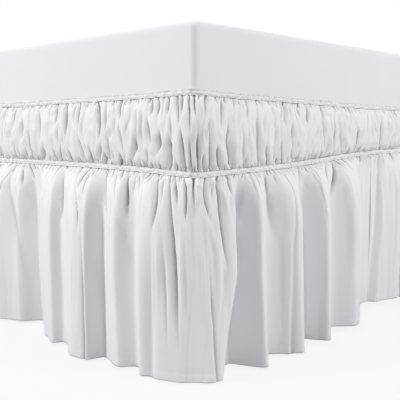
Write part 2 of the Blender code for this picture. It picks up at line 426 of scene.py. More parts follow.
PANEL_TUCKS = (
    Tuck(0.0066, (0.0022, 0.0070), (0.0012, 0.0021), (0.005, 0.018), 1.00),
    Tuck(0.0210, (0.0025, 0.0080), (0.0018, 0.0032), (0.016, 0.056), 0.45),
    Tuck(0.0480, (0.0020, 0.0060), (0.0050, 0.0100), (0.050, 0.150), 0.25),
)
DROP_TUCKS = (
    Tuck(0.0060, (0.0030, 0.0085), (0.0012, 0.0020), (0.007, 0.022), 1.00),
    Tuck(0.0210, (0.0025, 0.0095), (0.0018, 0.0032), (0.018, 0.070), 0.50),
    Tuck(0.0600, (0.0020, 0.0065), (0.0060, 0.0120), (0.120, 0.450), 0.30),
)


@dataclass(frozen=True)
class Shirring:
    """The random tucks along one edge of a band: most are small, a few are deep and long, and some stand out
    as ridges."""

    plan: SkirtPlan
    line: Line
    rise: float
    way: float
    tucks: tuple[Tuck, ...]
    seed: int
    spread: float = 0.75
    drift: float = 0.14
    bow: float = 0.05
    lean: float = 0.8
    rarity: float = 1.7
    shared: float = 0.6
    ridges: float = 0.25
    ridge_share: float = 0.6

    def creases(self) -> list[Crease]:
        """Rows for the creases, from uneven steps round the loop. With a random share r that is mostly small,
        a tuck's depth is its least one plus r of its range, and its half width and run take r mixed with a
        random part of their own.

        Returns:
            The creases, held at the band and running out in the cloth.
        """
        uneven = np.random.default_rng(self.seed)
        loop, found = self.plan.outline.loop, []
        for tuck in self.tucks:
            count = round(loop / tuck.pitch)
            steps = uneven.uniform(1.0 - self.spread, 1.0 + self.spread, count)
            places = np.cumsum(steps) / steps.sum() * loop
            share, loose, slide, bend, lean, flip = uneven.uniform(0.0, 1.0, (6, count))
            share = share**self.rarity
            mixed = self.shared * share + (1.0 - self.shared) * loose
            runs, widths = between(tuck.runs, mixed), between(tuck.widths, mixed)
            depths = between(tuck.depths, share)
            depths = np.where(flip < self.ridges, -self.ridge_share * depths, depths)
            depths = depths * (1.0 - (1.0 - tuck.kept) * by_hand(places, loop))
            edge = self.plan.height(places, self.line) + self.rise
            far = edge + self.way * runs
            ends = places + self.drift * runs * (2.0 * slide - 1.0)
            bows = self.bow * runs * (2.0 * bend - 1.0)
            leans = self.lean * (2.0 * lean - 1.0)
            if self.way < 0.0:
                rows = zip(places, edge, ends, far, bows, widths, depths, leans)
                found.extend(Crease(*map(float, row), Held.TOP) for row in rows)
            else:
                rows = zip(ends, far, places, edge, bows, widths, depths, leans)
                found.extend(Crease(*map(float, row), Held.LOW) for row in rows)
        return found


class Crumple(NamedTuple):
    """One size of crumpling: how far it moves the cloth, the noise's cells along the loop and in height, the
    seed of its noises and how many cells they are bent by."""

    relief: float
    cell_along: float
    cell_up: float
    seed: int
    bend: float = 0.7

    def at(self, place: Array, height: Array, loop: float) -> Array:
        """Crumpled cloth: two soft noises, bent by a third and each folded at zero, one added and one taken
        away, so that thin valleys and thin ridges cross between nearly flat planes.

        Args:
            place: Places round the loop.
            height: Heights above the floor.
            loop: Length of the loop, after which the pattern repeats.

        Returns:
            Distances outward, about 0.
        """
        cells = 2 * round(loop / self.cell_along / 2.0)
        along, up = place / loop * cells, height / self.cell_up
        bend = self.bend * lattice_noise(along / 2.0, up / 2.0, self.seed, cells // 2)
        valley = np.abs(lattice_noise(along + bend, up + bend, self.seed + 1, cells))
        ridge = np.abs(lattice_noise(along - bend + 0.5, up + bend + 0.5, self.seed + 2, cells))
        return self.relief * (valley - ridge)


class Pleat(NamedTuple):
    """One listed soft lopsided fold: its ridge and its trough at two heights, how far the ridge stands
    above the trough, and which of its ends are held. The cloth slopes from ridge to trough and comes back
    steeply behind the trough."""

    ridge_top: float
    trough_top: float
    height_top: float
    ridge_low: float
    trough_low: float
    height_low: float
    depth: float
    held: Held


PLEAT_BACK = 0.38
PLEAT_TAIL = 1.1


def pleat_relief(pleats: tuple[Pleat, ...], place: Array, height: Array) -> Array:
    """How far the pleats move the cloth. With q running from 0 at the ridge to 1 at the trough, each is half
    its depth times cos(pi q) between the two, exp(-(q/tail)^2) before the ridge and -exp(-((q-1)/back)^2)
    behind the trough.

    Args:
        pleats: The pleats.
        place: Places round the loop, as numbers below zero along the foot.
        height: Heights above the floor.

    Returns:
        Distances outward.
    """
    total = np.zeros(np.broadcast(place, height).shape)
    for pleat in pleats:
        t = (pleat.height_top - height) / (pleat.height_top - pleat.height_low)
        down = np.clip(t, 0.0, 1.0)
        ridge = pleat.ridge_top + (pleat.ridge_low - pleat.ridge_top) * down
        trough = pleat.trough_top + (pleat.trough_low - pleat.trough_top) * down
        q = (place - ridge) / (trough - ridge)
        slope = np.cos(np.pi * np.clip(q, 0.0, 1.0))
        before, behind = fade(np.minimum(q, 0.0), PLEAT_TAIL), fade(np.maximum(q - 1.0, 0.0), PLEAT_BACK)
        total += 0.5 * pleat.depth * slope * before * behind * pleat.held.share(t)
    return total


# Half reach of the average, and the depth that counts as full, for the mask of the painted crease shade on
# the skirt's cloth.
CLOTH_SHADE_REACH = 0.009
CLOTH_SHADE_DEPTH = 0.0030


def painted_shade_mask(relief: Array, step: float, reach: float, depth: float) -> Array:
    """The painted shade's mask: how deep each point lies in a narrow crease, below its own average along the
    row.

    Args:
        relief: Distances outward on a grid of rows and columns.
        step: Distance between two columns.
        reach: Half of the length over which the average is taken.
        depth: The depth that counts as 1.

    Returns:
        Values from 0, on a ridge or on flat cloth, to 1.
    """
    half = max(1, round(reach / step))
    window = np.hanning(2 * half + 3)[1:-1]
    padded = np.pad(relief, ((0, 0), (half, half)), mode="edge")
    window /= window.sum()
    average = np.stack([np.convolve(row, window, mode="valid") for row in padded])
    return np.clip((average - relief) / depth, 0.0, 1.0)


# ---------------------------------------------------------------------------------------------------------
# Meshes


def make_piece(
    name: str, points: Array, faces: list[Array], uv: Array, painted_shade: Array | None = None
) -> bpy.types.Object:
    """A smooth mesh object at the origin.

    Args:
        name: Name of the piece.
        points: One row of three numbers for each vertex.
        faces: Arrays of vertex numbers, each with faces of one size.
        uv: One row of two numbers for each vertex, in metres of cloth.
        painted_shade: For each vertex, how deep it lies in a narrow crease, from 0 to 1.

    Returns:
        The object, linked to the scene.
    """
    corners = np.concatenate([block.ravel() for block in faces]).astype(np.int32)
    sizes = np.concatenate([np.full(len(block), block.shape[1]) for block in faces])
    starts = np.concatenate([[0], np.cumsum(sizes)[:-1]]).astype(np.int32)
    mesh = bpy.data.meshes.new(name)
    mesh.vertices.add(len(points))
    mesh.vertices.foreach_set("co", points.astype(np.float32).ravel())
    mesh.loops.add(len(corners))
    mesh.loops.foreach_set("vertex_index", corners)
    mesh.polygons.add(len(sizes))
    mesh.polygons.foreach_set("loop_start", starts)
    layer = mesh.uv_layers.new(name="cloth")
    layer.data.foreach_set("uv", uv[corners].astype(np.float32).ravel())
    # The mask by which the finish paints shade into narrow creases.
    depth = mesh.attributes.new(PAINTED_SHADE_ATTRIBUTE, "FLOAT", "POINT")
    depth.data.foreach_set("value", (np.zeros(len(points)) if painted_shade is None else painted_shade).astype(np.float32))
    mesh.update(calc_edges=True)
    mesh.validate()
    mesh.shade_smooth()
    piece = bpy.data.objects.new(name, mesh)
    bpy.context.scene.collection.objects.link(piece)
    return piece


def row_quads(upper: Array, lower: Array) -> Array:
    """Quads between two rows of vertex numbers, facing outward where the rows run with the loop."""
    return np.stack([upper[:-1], lower[:-1], lower[1:], upper[1:]], axis=-1)


def grid_quads(numbers: Array) -> Array:
    """Quads of a grid of vertex numbers. With its first axis along X and its second along Y, they face up."""
    corners = (numbers[:-1, :-1], numbers[1:, :-1], numbers[1:, 1:], numbers[:-1, 1:])
    return np.stack(corners, axis=-1).reshape(-1, 4)


def halving_faces(upper: Array, lower: Array) -> Array:
    """Five-sided faces between a row of vertices and a row with half as many."""
    return np.stack([upper[0:-2:2], lower[:-1], lower[1:], upper[2::2], upper[1:-1:2]], axis=-1)


class ClothLength(NamedTuple):
    """One length of cloth in the loop, between two joining seams, and the width of its columns."""

    name: str
    start: float
    end: float
    step: float


LENGTHS = (
    ClothLength("corner", -0.60, 0.76, 0.0012),
    ClothLength("head", 0.76, 3.02, 0.0037),
    ClothLength("far_side", 3.02, 5.18, 0.0037),
)


def cloth_columns(length: ClothLength) -> Array:
    """Places of a length's columns: an even number of equal steps.

    Args:
        length: The length of cloth.

    Returns:
        The places, both ends included.
    """
    count = 2 * round((length.end - length.start) / length.step / 2)
    return np.linspace(length.start, length.end, count + 1)


class ClothGrid(NamedTuple):
    """A grid of one length of cloth: its points, their places on the flat cloth, and how deep each lies in a
    crease, the mask of its painted shade."""

    points: Array
    flat: Array
    painted_shade: Array


def make_sheet(name: str, grids: list[ClothGrid], thickness: float) -> bpy.types.Object:
    """A thin sheet from grids that hang from each other, each with half as many columns as the one above. Its
    thickness goes towards the bed.

    Args:
        name: Name of the piece.
        grids: The grids, from the top down.
        thickness: The cloth's thickness.

    Returns:
        The piece.
    """
    numbers, total = [], 0
    for grid in grids:
        numbers.append(np.arange(grid.painted_shade.size).reshape(grid.painted_shade.shape) + total)
        total += grid.painted_shade.size
    quads = np.concatenate([row_quads(a, b) for block in numbers for a, b in zip(block[:-1], block[1:])])
    joins = [halving_faces(upper[-1], lower[0]) for upper, lower in zip(numbers[:-1], numbers[1:])]
    points = np.concatenate([grid.points.reshape(-1, 3) for grid in grids])
    flat = np.concatenate([grid.flat.reshape(-1, 2) for grid in grids])
    painted_shade = np.concatenate([grid.painted_shade.ravel() for grid in grids])
    piece = make_piece(name, points, [quads] + joins, flat, painted_shade)
    solidify = piece.modifiers.new("Cloth thickness", "SOLIDIFY")
    solidify.thickness = thickness
    solidify.offset = -1.0
    return piece


def hand_over(piece: bpy.types.Object, finish: bpy.types.Material, slot: str, *nodes: str) -> None:
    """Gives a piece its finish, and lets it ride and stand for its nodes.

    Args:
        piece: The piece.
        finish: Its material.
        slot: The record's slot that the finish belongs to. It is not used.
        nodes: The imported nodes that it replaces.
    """
    piece.data.materials.append(finish)
    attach(piece, BODY)
    if nodes:
        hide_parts(*nodes)
    LOG.info("%s: %d faces", piece.name, len(piece.data.polygons))


# ---------------------------------------------------------------------------------------------------------
# The drop


class Turn(NamedTuple):
    """One ridge or valley of the hem: how far along it is from the front corner and how far out. The lean is
    how much further along it lies above the middle of the drop, and the draw how much further still at the
    band, where the folds begin."""

    along: float
    reach: float
    lean: float
    draw: float


SIDE_TURNS = (
    Turn(0.024, 0.042, 0.041, 0.000),
    Turn(0.088, -0.014, 0.006, 0.000),
    Turn(0.134, 0.068, -0.018, 0.014),
    Turn(0.178, 0.026, 0.000, 0.000),
    Turn(0.243, 0.075, -0.012, 0.000),
    Turn(0.305, 0.028, 0.006, 0.000),
    Turn(0.340, 0.079, -0.008, 0.012),
    Turn(0.410, 0.033, 0.006, 0.000),
    Turn(0.465, 0.076, -0.010, 0.000),
    Turn(0.638, -0.024, 0.027, 0.000),
    Turn(0.668, 0.020, 0.024, 0.000),
    Turn(0.750, 0.040, 0.010, 0.000),
)
FOOT_TURNS = (
    Turn(0.080, 0.056, 0.010, 0.000),
    Turn(0.121, 0.034, 0.010, 0.000),
    Turn(0.151, 0.062, 0.010, 0.010),
    Turn(0.211, 0.046, 0.004, 0.035),
    Turn(0.226, 0.084, 0.005, 0.036),
    Turn(0.266, 0.090, -0.006, 0.050),
    Turn(0.345, 0.053, 0.006, 0.050),
    Turn(0.362, 0.074, 0.005, 0.045),
    Turn(0.408, 0.058, 0.022, 0.040),
    Turn(0.505, -0.006, 0.004, 0.030),
    Turn(0.552, 0.044, 0.004, 0.030),
)
DROP_PLEATS = (
    Pleat(-0.119, -0.092, 0.330, -0.114, -0.093, -0.02, 0.010, Held.LOW),
    Pleat(-0.064, -0.052, 0.340, -0.046, -0.036, 0.030, 0.004, Held.NONE),
    Pleat(0.100, 0.078, 0.310, 0.085, 0.070, 0.090, 0.006, Held.NONE),
    Pleat(0.232, 0.212, 0.400, 0.238, 0.214, 0.230, 0.007, Held.NONE),
    Pleat(0.277, 0.250, 0.370, 0.268, 0.248, -0.02, 0.007, Held.LOW),
    Pleat(0.349, 0.330, 0.370, 0.345, 0.331, -0.02, 0.005, Held.LOW),
    Pleat(0.369, 0.353, 0.360, 0.366, 0.348, -0.02, 0.005, Held.LOW),
    Pleat(0.489, 0.463, 0.360, 0.486, 0.464, 0.120, 0.007, Held.NONE),
)
DROP_CREASES = (
    Crease(-0.494, 0.410, -0.452, 0.290, 0.010, 0.0037, 0.004, -0.5, Held.TOP),
    Crease(-0.417, 0.410, -0.365, 0.270, 0.024, 0.0030, 0.014, -1.0, Held.TOP),
    Crease(-0.362, 0.410, -0.268, 0.255, 0.034, 0.0030, 0.012, -1.0, Held.TOP),
    Crease(-0.318, 0.410, -0.280, 0.345, 0.000, 0.0023, 0.008, 0.0, Held.TOP),
    Crease(-0.306, 0.410, -0.258, 0.335, 0.000, 0.0026, 0.009, 0.0, Held.TOP),
    Crease(-0.277, 0.260, -0.283, 0.080, 0.000, 0.0030, 0.002, 0.0, Held.NONE),
    Crease(-0.264, 0.410, -0.222, 0.290, 0.008, 0.0030, 0.012, -1.0, Held.TOP),
    Crease(-0.255, 0.290, -0.248, -0.02, 0.000, 0.0030, 0.004, 0.0, Held.LOW),
    Crease(-0.190, 0.410, -0.166, 0.290, 0.007, 0.0030, 0.013, -1.2, Held.TOP),
    Crease(-0.156, 0.410, -0.142, 0.290, 0.010, 0.0028, 0.011, -0.5, Held.TOP),
    Crease(-0.104, 0.410, -0.095, 0.280, 0.014, 0.0034, 0.016, -0.8, Held.TOP),
    Crease(-0.076, 0.340, -0.078, 0.100, 0.000, 0.0037, -0.003, 0.0, Held.NONE),
    Crease(-0.086, 0.290, -0.088, 0.060, 0.000, 0.0030, -0.003, 0.0, Held.NONE),
    Crease(-0.069, 0.300, -0.057, 0.040, 0.000, 0.0030, 0.004, -0.5, Held.NONE),
    Crease(-0.063, 0.410, -0.038, 0.060, 0.002, 0.0034, 0.007, -1.0, Held.TOP),
    Crease(-0.050, 0.410, -0.041, 0.330, 0.000, 0.0028, 0.012, 0.0, Held.TOP),
    Crease(-0.038, 0.340, -0.026, 0.090, 0.000, 0.0037, -0.005, 0.0, Held.NONE),
    Crease(-0.020, 0.410, -0.025, 0.300, 0.000, 0.0030, 0.010, 0.0, Held.TOP),
    Crease(-0.010, 0.410, -0.018, 0.310, 0.000, 0.0045, -0.005, 0.0, Held.TOP),
    Crease(-0.003, 0.410, -0.004, 0.360, 0.000, 0.0023, 0.005, 0.0, Held.TOP),
    Crease(0.008, 0.410, 0.003, 0.325, 0.000, 0.0045, -0.005, 0.0, Held.TOP),
    Crease(0.015, 0.350, 0.028, 0.110, 0.000, 0.0060, -0.003, 0.0, Held.NONE),
    Crease(0.025, 0.410, 0.045, 0.300, -0.005, 0.0030, 0.014, 0.6, Held.TOP),
    Crease(0.035, 0.275, 0.047, -0.02, 0.003, 0.0023, 0.004, 0.5, Held.LOW),
    Crease(0.040, 0.320, 0.055, 0.240, 0.000, 0.0045, -0.003, 0.0, Held.NONE),
    Crease(0.054, 0.350, 0.058, 0.080, 0.000, 0.0053, -0.003, 0.0, Held.NONE),
    Crease(0.060, 0.410, 0.081, 0.205, -0.006, 0.0036, 0.014, 1.0, Held.TOP),
    Crease(0.062, 0.390, 0.088, 0.290, 0.000, 0.0045, -0.004, 0.0, Held.NONE),
    Crease(0.078, 0.410, 0.093, 0.342, 0.000, 0.0030, 0.008, 0.0, Held.TOP),
    Crease(0.126, 0.250, 0.118, 0.020, 0.000, 0.0037, 0.003, 0.0, Held.NONE),
    Crease(0.213, 0.400, 0.217, 0.250, 0.000, 0.0053, 0.005, 1.0, Held.NONE),
    Crease(0.234, 0.370, 0.242, -0.02, 0.000, 0.0045, -0.004, 0.0, Held.LOW),
    Crease(0.258, 0.410, 0.245, 0.200, 0.000, 0.0045, 0.005, 1.0, Held.TOP),
    Crease(0.318, 0.410, 0.330, 0.350, 0.000, 0.0030, 0.009, 0.5, Held.TOP),
    Crease(0.324, 0.400, 0.330, 0.230, 0.000, 0.0067, 0.006, 0.5, Held.NONE),
    Crease(0.352, 0.395, 0.353, 0.260, 0.000, 0.0045, 0.005, 1.0, Held.NONE),
    Crease(0.460, 0.410, 0.434, 0.315, 0.000, 0.0040, 0.010, 0.5, Held.TOP),
    Crease(0.508, 0.420, 0.512, 0.372, 0.000, 0.0030, 0.008, 0.0, Held.TOP),
    Crease(0.590, 0.430, 0.600, 0.380, 0.000, 0.0053, 0.009, 0.0, Held.TOP),
    Crease(0.656, 0.400, 0.664, 0.080, 0.006, 0.0045, 0.012, 0.8, Held.NONE),
)


@dataclass(frozen=True)
class Drop:
    """The long gathered drop below the middle band, with its turned hem."""

    plan: SkirtPlan
    shirring: Shirring
    hem_reach: float = 0.045
    shoulder_share: float = 0.85
    shoulder_depth: float = 0.10
    fold_depth: float = 0.075
    fold_growth: float = 1.1
    lean_depth: float = 0.50
    corner_valley: float = 0.022
    fold_pitch: float = 0.118
    fold_shift: float = 0.3
    crest_reaches: tuple[float, float] = (0.056, 0.094)
    valley_reaches: tuple[float, float] = (0.014, 0.044)
    fold_seed: int = 11
    thickness: float = 0.0009
    hem_width: float = 0.016
    hem_relief: float = 0.0003
    hem_edge: float = 0.0012
    hem_groove: float = 0.0016
    seam_puff: float = 0.0035
    seam_rise: float = 0.0028
    least_reach: float = 0.0012
    creasing: Crumple = Crumple(0.0024, 0.019, 0.050, 31)
    creasing_depth: float = 0.11
    crinkling: Crumple = Crumple(0.0014, 0.0065, 0.016, 33)
    crinkling_depth: float = 0.020
    pressing: Crumple = Crumple(0.0012, 0.024, 0.260, 35)
    fullness: float = 1.4
    mean_height: float = 0.385
    flat_height: float = 0.40
    gathered_rows: int = 22
    row_heights: tuple[float, float] = (0.0010, 0.0060)
    middle_rows: int = 30
    hem_rows: int = 8
    hem_margin: float = 0.004

    def growth(self, down: Array) -> Array:
        """Share of their full depth that the folds have this far down: 1 - exp(-(down/depth)^growth)."""
        return 1.0 - np.exp(-((down / self.fold_depth) ** self.fold_growth))

    @cached_property
    def hand_turns(self) -> list[tuple[float, float, Turn]]:
        """The listed turns, each with its place at the hem and the way it runs from the front corner."""
        outline, found = self.plan.outline, []
        for turns, side, way in ((SIDE_TURNS, outline.length, 1.0), (FOOT_TURNS, outline.width, -1.0)):
            for turn in turns:
                found.append((way * outline.hem_place(side / 2, turn.along, self.hem_reach), way, turn))
        return found

    def fold_profile(self, down: float) -> tuple[Array, Array]:
        """Places and reaches of the folds' ridges and valleys round the whole loop.

        Args:
            down: Share of the drop at which they are read.

        Returns:
            The places in rising order, and the reach at each.
        """
        outline = self.plan.outline
        uneven = np.random.default_rng(self.fold_seed)
        leaning = min(max((1.0 - down) / self.lean_depth, 0.0), 1.0)
        drawing = 1.0 - self.growth(down)
        places, reaches = [0.0], [self.corner_valley]
        for place, way, turn in self.hand_turns:
            places.append(place + way * (turn.lean * leaning + turn.draw * drawing))
            reaches.append(turn.reach)
        corners = list(outline.starts[1:])
        stops = [max(places)] + corners + [min(places) + outline.loop]
        for start, end in zip(stops[:-1], stops[1:]):
            count = round((end - start) / self.fold_pitch)
            steps = np.arange(2 * count - 1)
            shifts = uneven.uniform(-self.fold_shift, self.fold_shift, len(steps))
            crests = uneven.uniform(*self.crest_reaches, len(steps))
            valleys = uneven.uniform(*self.valley_reaches, len(steps))
            places.extend(start + (end - start) / count / 2 * (steps + 1 + shifts))
            reaches.extend(np.where(steps % 2 == 0, crests, valleys))
        places.extend(corners)
        reaches.extend([self.corner_valley] * len(corners))
        wrapped = np.mod(places, outline.loop)
        order = np.argsort(wrapped)
        return wrapped[order], np.array(reaches)[order]

    def drawn(self, place: Array, down: Array) -> Array:
        """How far along the cloth is drawn from where it hangs at the hem, as its folds are.

        Args:
            place: Places round the loop.
            down: Shares of the drop.

        Returns:
            Shifts of the place.
        """
        knots = sorted((at, way * turn.lean, way * turn.draw) for at, way, turn in self.hand_turns)
        places, leans, draws = np.array(knots).T
        signed = signed_place(place, self.plan.outline.loop)
        leaning = np.clip((1.0 - down) / self.lean_depth, 0.0, 1.0)
        drawing = 1.0 - self.growth(down)
        return np.interp(signed, places, leans) * leaning + np.interp(signed, places, draws) * drawing

    @cached_property
    def tucks(self) -> list[Crease]:
        """The random tucks below the band, leaning as the cloth is drawn."""
        leaned = []
        for crease in self.shirring.creases():
            run = (crease.height_top - crease.height_low) / (crease.height_top - self.plan.hem_mean)
            slide = self.drawn(crease.place_top, run) - self.drawn(crease.place_top, 0.0)
            leaned.append(crease._replace(place_low=crease.place_low + float(slide)))
        return leaned

    def surface(self, places: Array, downs: Array, step: float) -> tuple[Array, Array]:
        """Rows of the drop. The path reach bulges at the band and flares to the hem; the folds grow in below
        the band, and the tucks, pleats, creases and a crumple are added along the outline's normal.

        Args:
            places: Places of the columns.
            downs: Shares of the drop at which the rows lie.
            step: Width of the cloth's narrowest columns.

        Returns:
            The points on a grid of rows and columns, and how deep each lies in a crease: the mask of the
            painted shade.
        """
        plan, loop = self.plan, self.plan.outline.loop
        down = downs[:, None]
        place = np.broadcast_to(places, (len(downs), len(places)))
        top = plan.height(places, Line.MIDDLE_BAND) - plan.middle_band / 2 - plan.seam_gap
        low = plan.height(places, Line.HEM)
        height = top + (low - top) * down
        below = top - height
        shoulder = 1.0 - np.exp(-down / self.shoulder_depth)
        share = self.shoulder_share * shoulder + (1.0 - self.shoulder_share) * down
        flare = plan.seam_reach + (self.hem_reach - plan.seam_reach) * share
        growth = self.growth(down)
        folds = np.stack([round_loop(places, *self.fold_profile(row), loop, level=True) for row in downs])
        creased = crease_relief(DROP_CREASES, places, height, loop, step)
        tucked = crease_relief(self.tucks, places, height, loop, step)
        pleated = pleat_relief(DROP_PLEATS, signed_place(place, loop), height)
        loose = place - self.drawn(place, down)
        crumpled = fade(below, self.creasing_depth) * self.creasing.at(loose, height, loop)
        crinkled = fade(below, self.crinkling_depth) * self.crinkling.at(loose, height, loop)
        pressed = growth * self.pressing.at(loose, height, loop)
        hem = smooth_step((self.hem_width - (height - low)) / self.hem_edge)
        groove = fade(height - low - self.hem_width, self.hem_groove)
        relief = tucked + creased + pleated + crumpled + crinkled + pressed
        # Mask of the painted shade: the finish darkens the cloth in narrow creases by it.
        painted_shade = painted_shade_mask(relief, places[1] - places[0], CLOTH_SHADE_REACH, CLOTH_SHADE_DEPTH)
        puffed = self.seam_puff * (1.0 - np.exp(-below / self.seam_rise))
        extra = puffed + growth * (folds - self.hem_reach) + relief + self.hem_relief * (hem - groove)
        extra = np.maximum(extra, self.least_reach - flare)
        return plan.outline.points(place, flare, extra, height), painted_shade

    def rows(self) -> tuple[Array, Array]:
        """Shares of the drop at which its rows lie: close rows in the gathers, wider ones below, and close
        ones again at the hem.

        Returns:
            The rows with all the columns, and those with half of them.
        """
        steps = np.geomspace(*self.row_heights, self.gathered_rows)
        gathered = np.cumsum(np.concatenate([[0.0], steps])) / self.mean_height
        hem_start = 1.0 - (self.hem_width + self.hem_margin) / self.mean_height
        middle = np.linspace(gathered[-1], hem_start, self.middle_rows)[1:-1]
        hem = np.linspace(hem_start, 1.0, self.hem_rows)
        return gathered, np.concatenate([middle, hem])

    def build(self, length: ClothLength, finish: bpy.types.Material) -> bpy.types.Object:
        """Builds one length of the drop.

        Args:
            length: The length of cloth.
            finish: Its material.

        Returns:
            The piece.
        """
        fine, coarse = self.rows()
        columns = cloth_columns(length)
        grids = []
        for places, downs in ((columns, fine), (columns[::2], coarse)):
            points, painted_shade = self.surface(places, downs, length.step)
            flat = np.meshgrid(places * self.fullness, self.flat_height * (1.0 - downs))
            grids.append(ClothGrid(points, np.stack(flat, axis=-1), painted_shade))
        piece = make_sheet(f"drop_{length.name}", grids, self.thickness)
        hand_over(piece, finish, CLOTH_SLOT, "skirt_panel")
        return piece


# ---------------------------------------------------------------------------------------------------------
# The puffed panel


PANEL_CREASES = (
    Crease(-0.556, 0.505, -0.568, 0.440, 0.000, 0.0090, 0.010, 0.0, Held.NONE),
    Crease(-0.497, 0.535, -0.490, 0.440, 0.006, 0.0053, 0.006, 0.0, Held.NONE),
    Crease(-0.532, 0.475, -0.536, 0.390, 0.003, 0.0030, 0.006, 0.0, Held.LOW),
    Crease(-0.475, 0.450, -0.488, 0.390, 0.000, 0.0060, 0.008, 0.8, Held.LOW),
    Crease(-0.438, 0.440, -0.436, 0.390, 0.000, 0.0030, 0.007, 0.0, Held.LOW),
    Crease(-0.430, 0.540, -0.424, 0.470, 0.004, 0.0045, 0.008, 0.0, Held.TOP),
    Crease(-0.400, 0.450, -0.420, 0.390, 0.000, 0.0030, 0.006, 0.0, Held.LOW),
    Crease(-0.402, 0.545, -0.390, 0.440, 0.010, 0.0045, 0.010, 0.5, Held.TOP),
    Crease(-0.382, 0.438, -0.374, 0.385, 0.000, 0.0037, 0.008, 0.0, Held.LOW),
    Crease(-0.348, 0.545, -0.339, 0.465, 0.006, 0.0037, 0.010, 0.0, Held.TOP),
    Crease(-0.341, 0.464, -0.326, 0.385, 0.004, 0.0037, 0.012, -0.8, Held.LOW),
    Crease(-0.300, 0.450, -0.304, 0.385, 0.000, 0.0045, 0.006, 0.0, Held.LOW),
    Crease(-0.290, 0.545, -0.273, 0.445, 0.012, 0.0037, 0.011, 0.6, Held.TOP),
    Crease(-0.260, 0.452, -0.286, 0.390, 0.002, 0.0037, 0.011, -1.2, Held.LOW),
    Crease(-0.258, 0.436, -0.250, 0.390, 0.000, 0.0037, 0.009, 0.0, Held.LOW),
    Crease(-0.253, 0.540, -0.244, 0.450, 0.002, 0.0045, 0.006, 0.0, Held.TOP),
    Crease(-0.241, 0.470, -0.238, 0.385, 0.000, 0.0037, 0.013, -1.0, Held.LOW),
    Crease(-0.203, 0.545, -0.202, 0.480, 0.000, 0.0037, 0.008, 0.0, Held.TOP),
    Crease(-0.205, 0.496, -0.190, 0.420, 0.000, 0.0030, 0.009, -1.0, Held.NONE),
    Crease(-0.204, 0.434, -0.202, 0.385, 0.000, 0.0045, 0.010, 0.0, Held.LOW),
    Crease(-0.172, 0.505, -0.187, 0.460, 0.000, 0.0045, 0.004, 0.0, Held.NONE),
    Crease(-0.152, 0.470, -0.172, 0.405, 0.004, 0.0075, 0.010, 0.0, Held.NONE),
    Crease(-0.122, 0.545, -0.113, 0.496, 0.006, 0.0045, 0.011, 0.0, Held.TOP),
    Crease(-0.099, 0.545, -0.097, 0.495, 0.006, 0.0045, 0.011, 0.0, Held.TOP),
    Crease(-0.120, 0.502, -0.113, 0.432, 0.000, 0.0037, 0.009, -1.0, Held.NONE),
    Crease(-0.085, 0.480, -0.097, 0.425, 0.003, 0.0053, 0.011, 0.0, Held.NONE),
    Crease(-0.068, 0.545, -0.065, 0.498, 0.000, 0.0037, 0.011, 0.0, Held.TOP),
    Crease(-0.058, 0.506, -0.055, 0.445, 0.000, 0.0045, 0.005, 0.0, Held.NONE),
    Crease(-0.062, 0.474, -0.066, 0.390, 0.004, 0.0045, 0.014, -0.8, Held.LOW),
    Crease(-0.047, 0.545, -0.034, 0.480, 0.000, 0.0030, 0.010, 0.0, Held.TOP),
    Crease(-0.032, 0.492, -0.021, 0.385, 0.000, 0.0030, 0.012, -0.6, Held.LOW),
    Crease(-0.030, 0.545, -0.030, 0.490, 0.000, 0.0030, 0.008, 0.0, Held.TOP),
    Crease(-0.016, 0.550, -0.007, 0.462, 0.001, 0.0030, 0.0050, 0.0, Held.TOP),
    Crease(-0.009, 0.468, -0.004, 0.385, -0.002, 0.0030, 0.0055, 0.0, Held.LOW),
    Crease(-0.004, 0.550, 0.005, 0.484, 0.000, 0.0034, 0.0045, 0.0, Held.TOP),
    Crease(0.007, 0.490, 0.011, 0.385, -0.003, 0.0034, 0.0060, 0.0, Held.LOW),
    Crease(0.034, 0.550, 0.020, 0.500, 0.000, 0.0037, 0.011, 0.0, Held.TOP),
    Crease(0.028, 0.508, 0.042, 0.390, 0.002, 0.0037, 0.010, 0.8, Held.LOW),
    Crease(0.018, 0.438, 0.027, 0.385, 0.000, 0.0030, 0.012, 0.0, Held.LOW),
    Crease(0.052, 0.456, 0.074, 0.385, 0.000, 0.0053, 0.013, 0.0, Held.LOW),
    Crease(0.074, 0.550, 0.066, 0.470, 0.000, 0.0045, 0.006, 0.0, Held.TOP),
    Crease(0.088, 0.508, 0.107, 0.385, -0.008, 0.0045, 0.013, 1.0, Held.LOW),
    Crease(0.125, 0.485, 0.144, 0.385, 0.000, 0.0067, 0.007, 0.0, Held.LOW),
    Crease(0.175, 0.520, 0.194, 0.390, -0.008, 0.0060, 0.009, 0.8, Held.LOW),
    Crease(0.202, 0.452, 0.217, 0.390, 0.000, 0.0045, 0.006, 0.0, Held.LOW),
    Crease(0.231, 0.530, 0.237, 0.390, 0.000, 0.0053, 0.005, 0.8, Held.LOW),
    Crease(0.272, 0.545, 0.273, 0.475, -0.004, 0.0037, 0.010, 0.0, Held.TOP),
    Crease(0.258, 0.460, 0.266, 0.390, 0.000, 0.0037, 0.005, 0.0, Held.LOW),
    Crease(0.288, 0.516, 0.304, 0.390, 0.000, 0.0053, 0.008, 0.8, Held.LOW),
    Crease(0.323, 0.545, 0.316, 0.490, 0.000, 0.0067, 0.008, 0.0, Held.TOP),
    Crease(0.353, 0.535, 0.347, 0.470, 0.000, 0.0045, 0.007, 0.0, Held.NONE),
    Crease(0.408, 0.540, 0.435, 0.400, -0.006, 0.0060, 0.010, 0.8, Held.TOP),
    Crease(0.456, 0.512, 0.463, 0.405, 0.000, 0.0045, 0.008, 0.0, Held.NONE),
    Crease(0.476, 0.495, 0.508, 0.400, 0.000, 0.0060, 0.010, 0.8, Held.NONE),
    Crease(0.562, 0.482, 0.561, 0.405, 0.004, 0.0037, 0.010, 0.0, Held.NONE),
    Crease(0.676, 0.530, 0.688, 0.400, 0.000, 0.0067, 0.010, 0.0, Held.NONE),
)


class Puff(NamedTuple):
    """How far the panel puffs out at one share of its height, as a share of its full puff."""

    down: float
    share: float


